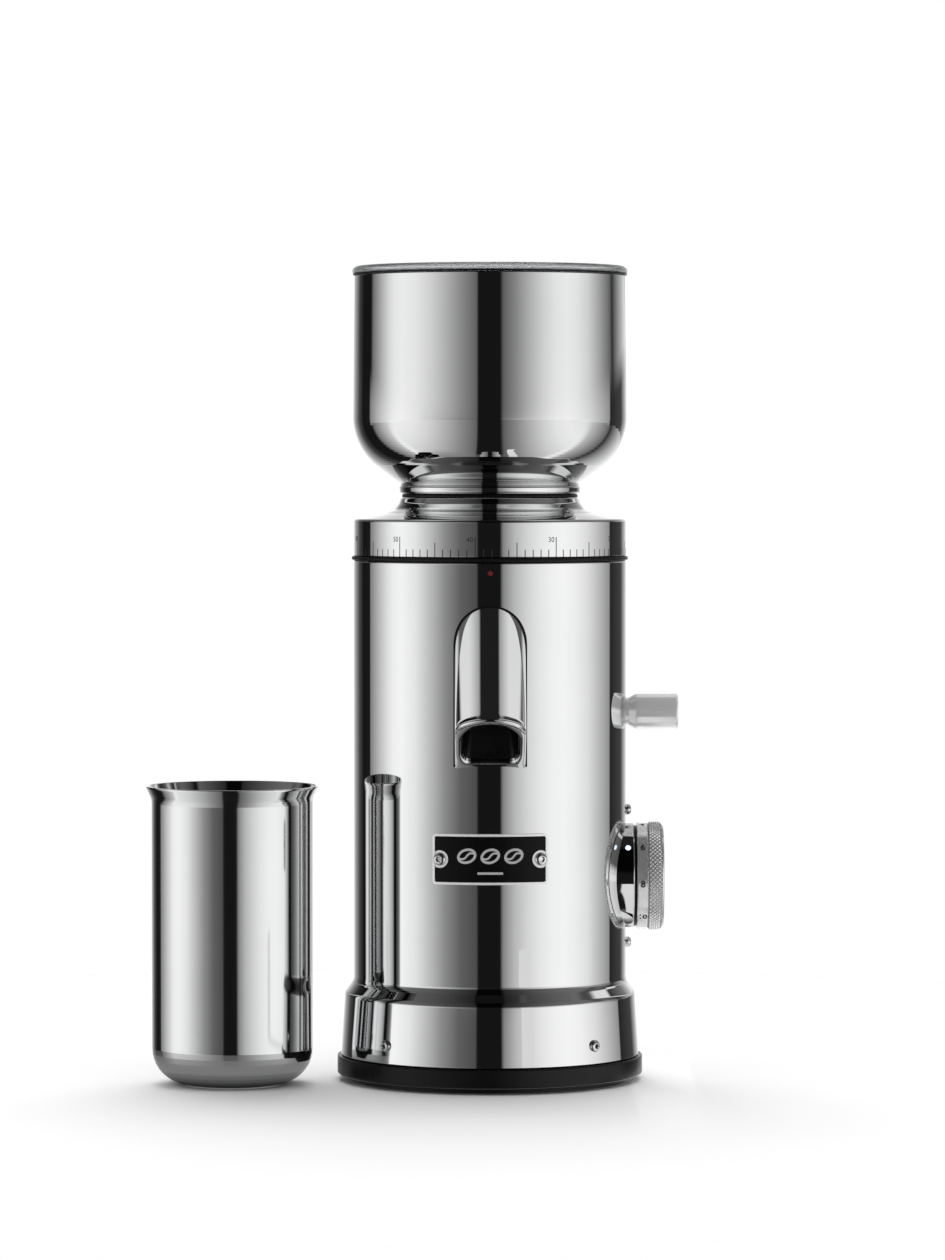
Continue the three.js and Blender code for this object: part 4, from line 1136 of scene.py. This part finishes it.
def studio():
    """Tall soft panels all round with dark gaps, a gapped panel overhead and a white background."""
    world = bpy.data.worlds.new("studio")
    world.use_nodes = True
    world.node_tree.nodes.clear()
    nodes = Nodes(world.node_tree)
    source = nodes.add("ShaderNodeTexCoord").outputs["Generated"]
    x, y, z = nodes.add("ShaderNodeSeparateXYZ", [(0, source)]).outputs

    def at(degrees):
        return math.sin(math.radians(degrees))

    ahead = nodes.math("MAXIMUM", nodes.math("MULTIPLY", y, -1), 0)
    slant = nodes.math("SQRT", nodes.math("ADD", nodes.math("POWER", ahead, 2), nodes.math("POWER", z, 2)))
    longer = nodes.math("MULTIPLY", nodes.math("SUBTRACT", slant, ahead), nodes.ease(y, 0, 0.15, 0.7, 0))
    forward = nodes.math("SUBTRACT", longer, y)
    round_angle = nodes.math("ARCTAN2", x, forward)
    off_middle = nodes.math("ABSOLUTE", nodes.math("ADD", z, at(3)))
    panels = nodes.mix(nodes.ease(off_middle, at(4.15), at(4.5)), nodes.ramp(round_angle, LEVEL_ROUND),
                       nodes.ramp(round_angle, OUTER_ROUND))
    behind = nodes.math("MULTIPLY", nodes.ease(y, 0.2, 0.32, 1, 0.7), nodes.ease(y, 0.75, 0.98, 1, 0.65))
    above = nodes.math("MULTIPLY", nodes.ease(z, at(6), at(16)), behind)
    dimmed = nodes.add("ShaderNodeVectorMath",
                       [(0, panels), ("Scale", nodes.ease(above, 0, 1, 1, UPPER_DIM))],
                       operation="SCALE").outputs[0]
    sideways = nodes.math("ABSOLUTE", nodes.math("ADD", x, 0.03))
    overhead = nodes.math("ADD", nodes.ease(sideways, 0.31, 0.37, 0.015, 0.4),
                          nodes.ease(sideways, 0.37, 0.65, 0, 0.45))
    top = nodes.math("MULTIPLY", nodes.ease(z, at(60), at(72)), nodes.ease(y, 0.22, 0.3, 1, 0))
    mirrored = nodes.mix(top, dimmed, overhead)
    mirrored = nodes.mix(nodes.ease(z, -at(72), -at(85)), mirrored, UNDER)

    # The overhead panel also reaches down all round, in the thin shell of directions that the spout mirrors.
    lean = nodes.math("DIVIDE", z, nodes.math("SUBTRACT", 1.0001, y))
    off_spout = nodes.math("ABSOLUTE", nodes.math("SUBTRACT", lean, SPOUT_LEAN))
    mirrored = nodes.mix(nodes.ease(off_spout, 0.1, 0.06), mirrored, overhead)

    # What lights dull surfaces is an even fill and a soft patch high behind the grinder.
    towards = nodes.math("ADD", nodes.math("MULTIPLY", y, 0.5), nodes.math("MULTIPLY", z, 0.866))
    fill = nodes.mix(nodes.ease(towards, 0.85, 0.97), FILL, FILL + TOP_LIGHT)

    path = nodes.add("ShaderNodeLightPath").outputs
    seen = nodes.mix(path["Is Diffuse Ray"], mirrored, fill)
    seen = nodes.mix(path["Is Transmission Ray"], seen, BACKGROUND)
    seen = nodes.mix(path["Is Camera Ray"], seen, BACKGROUND)
    background = nodes.add("ShaderNodeBackground", [("Color", seen)])
    nodes.add("ShaderNodeOutputWorld", [("Surface", background.outputs[0])])
    bpy.context.scene.world = world


studio()


def staged(name, made):
    mesh = bpy.data.meshes.new(name)
    made.to_mesh(mesh)
    made.free()
    stage = bpy.data.objects.new(name, mesh)
    bpy.context.scene.collection.objects.link(stage)
    return stage


def floor():
    """A pale table, which the steel doesn't mirror."""
    made = bmesh.new()
    angles = [TURN * k / 96 for k in range(96)]
    made.faces.new([made.verts.new((0.45 * math.cos(a) - 0.03, 0.45 * math.sin(a), -0.0003)) for a in angles])
    table = staged("floor", made)
    material, tree, shader = new_material("pale_floor")
    tint = spread(tree, noise(tree, coordinates(tree), 3.0, 2.0), 0, 1)
    tree.links.new(blend_colours(tree, tint, (0.86, 0.86, 0.86), (0.88, 0.88, 0.88)),
                   shader.inputs["Base Color"])
    shader.inputs["Roughness"].default_value = 0.9
    table.data.materials.append(material)
    table.visible_glossy = False


def card(name, faces, strength, reach, clear=0.75, painted_shadow_reach=0.0):
    """A glowing card that is only seen in the steel, with painted shadow near its middle and fading out at
    its reach.
    """
    middle = sum((Vector(corner) for corner in faces[0]), Vector()) / len(faces[0])
    made = bmesh.new()
    for corners in faces:
        made.faces.new([made.verts.new(Vector(corner) - middle) for corner in corners])
    shown = staged(name, made)
    shown.location = middle
    material, tree, shader = new_material(name + "_glow")
    nodes = Nodes(tree)
    away = nodes.add("ShaderNodeVectorMath", [(0, coordinates(tree))], operation="LENGTH").outputs["Value"]
    tree.links.new(nodes.ease(away, reach * clear, reach, 1, 0), shader.inputs["Alpha"])
    shader.inputs["Base Color"].default_value = (0, 0, 0, 1)
    shader.inputs["Emission Color"].default_value = (1, 1, 1, 1)
    # Painted shadow: the glow drops to almost nothing near the card's middle.
    tree.links.new(nodes.ease(away, painted_shadow_reach, painted_shadow_reach + 0.01, 0.02, strength), shader.inputs["Emission Strength"])
    shown.data.materials.append(material)
    shown.visible_camera = shown.visible_diffuse = shown.visible_shadow = shown.visible_transmission = False


floor()
card("white_card", [[(0.055, 0.08, 0), (0.08, 0.08, 0), (0.08, -0.15, 0), (0.055, -0.15, 0)],
                    [(0.055, -0.15, 0), (0.08, -0.15, 0), (0.08, -0.15, 0.045), (0.055, -0.15, 0.045)]],
                    0.8, 0.3)
# The grey card is painted shade: it stands in for the shaded table mirrored in the cup, with a painted
# contact shadow under the cup.
card("shaded_table_card", [[(CUP_X * MM + 0.12 * math.cos(TURN * k / 48),
                     CUP_Y * MM + 0.12 * math.sin(TURN * k / 48), 0.0001)
                    for k in range(48)]], 0.23, 0.12, clear=0.3, painted_shadow_reach=0.022)

camera_data = bpy.data.cameras.new("camera")
camera_data.lens = 152.6
camera_data.sensor_width = 36
camera = bpy.data.objects.new("camera", camera_data)
camera.location = (-0.0068, -2.093, 0.2406)
camera.rotation_euler = (math.radians(90 - 1.77), 0, 0)
bpy.context.scene.collection.objects.link(camera)
bpy.context.scene.camera = camera
bpy.context.scene.view_settings.view_transform = "Standard"
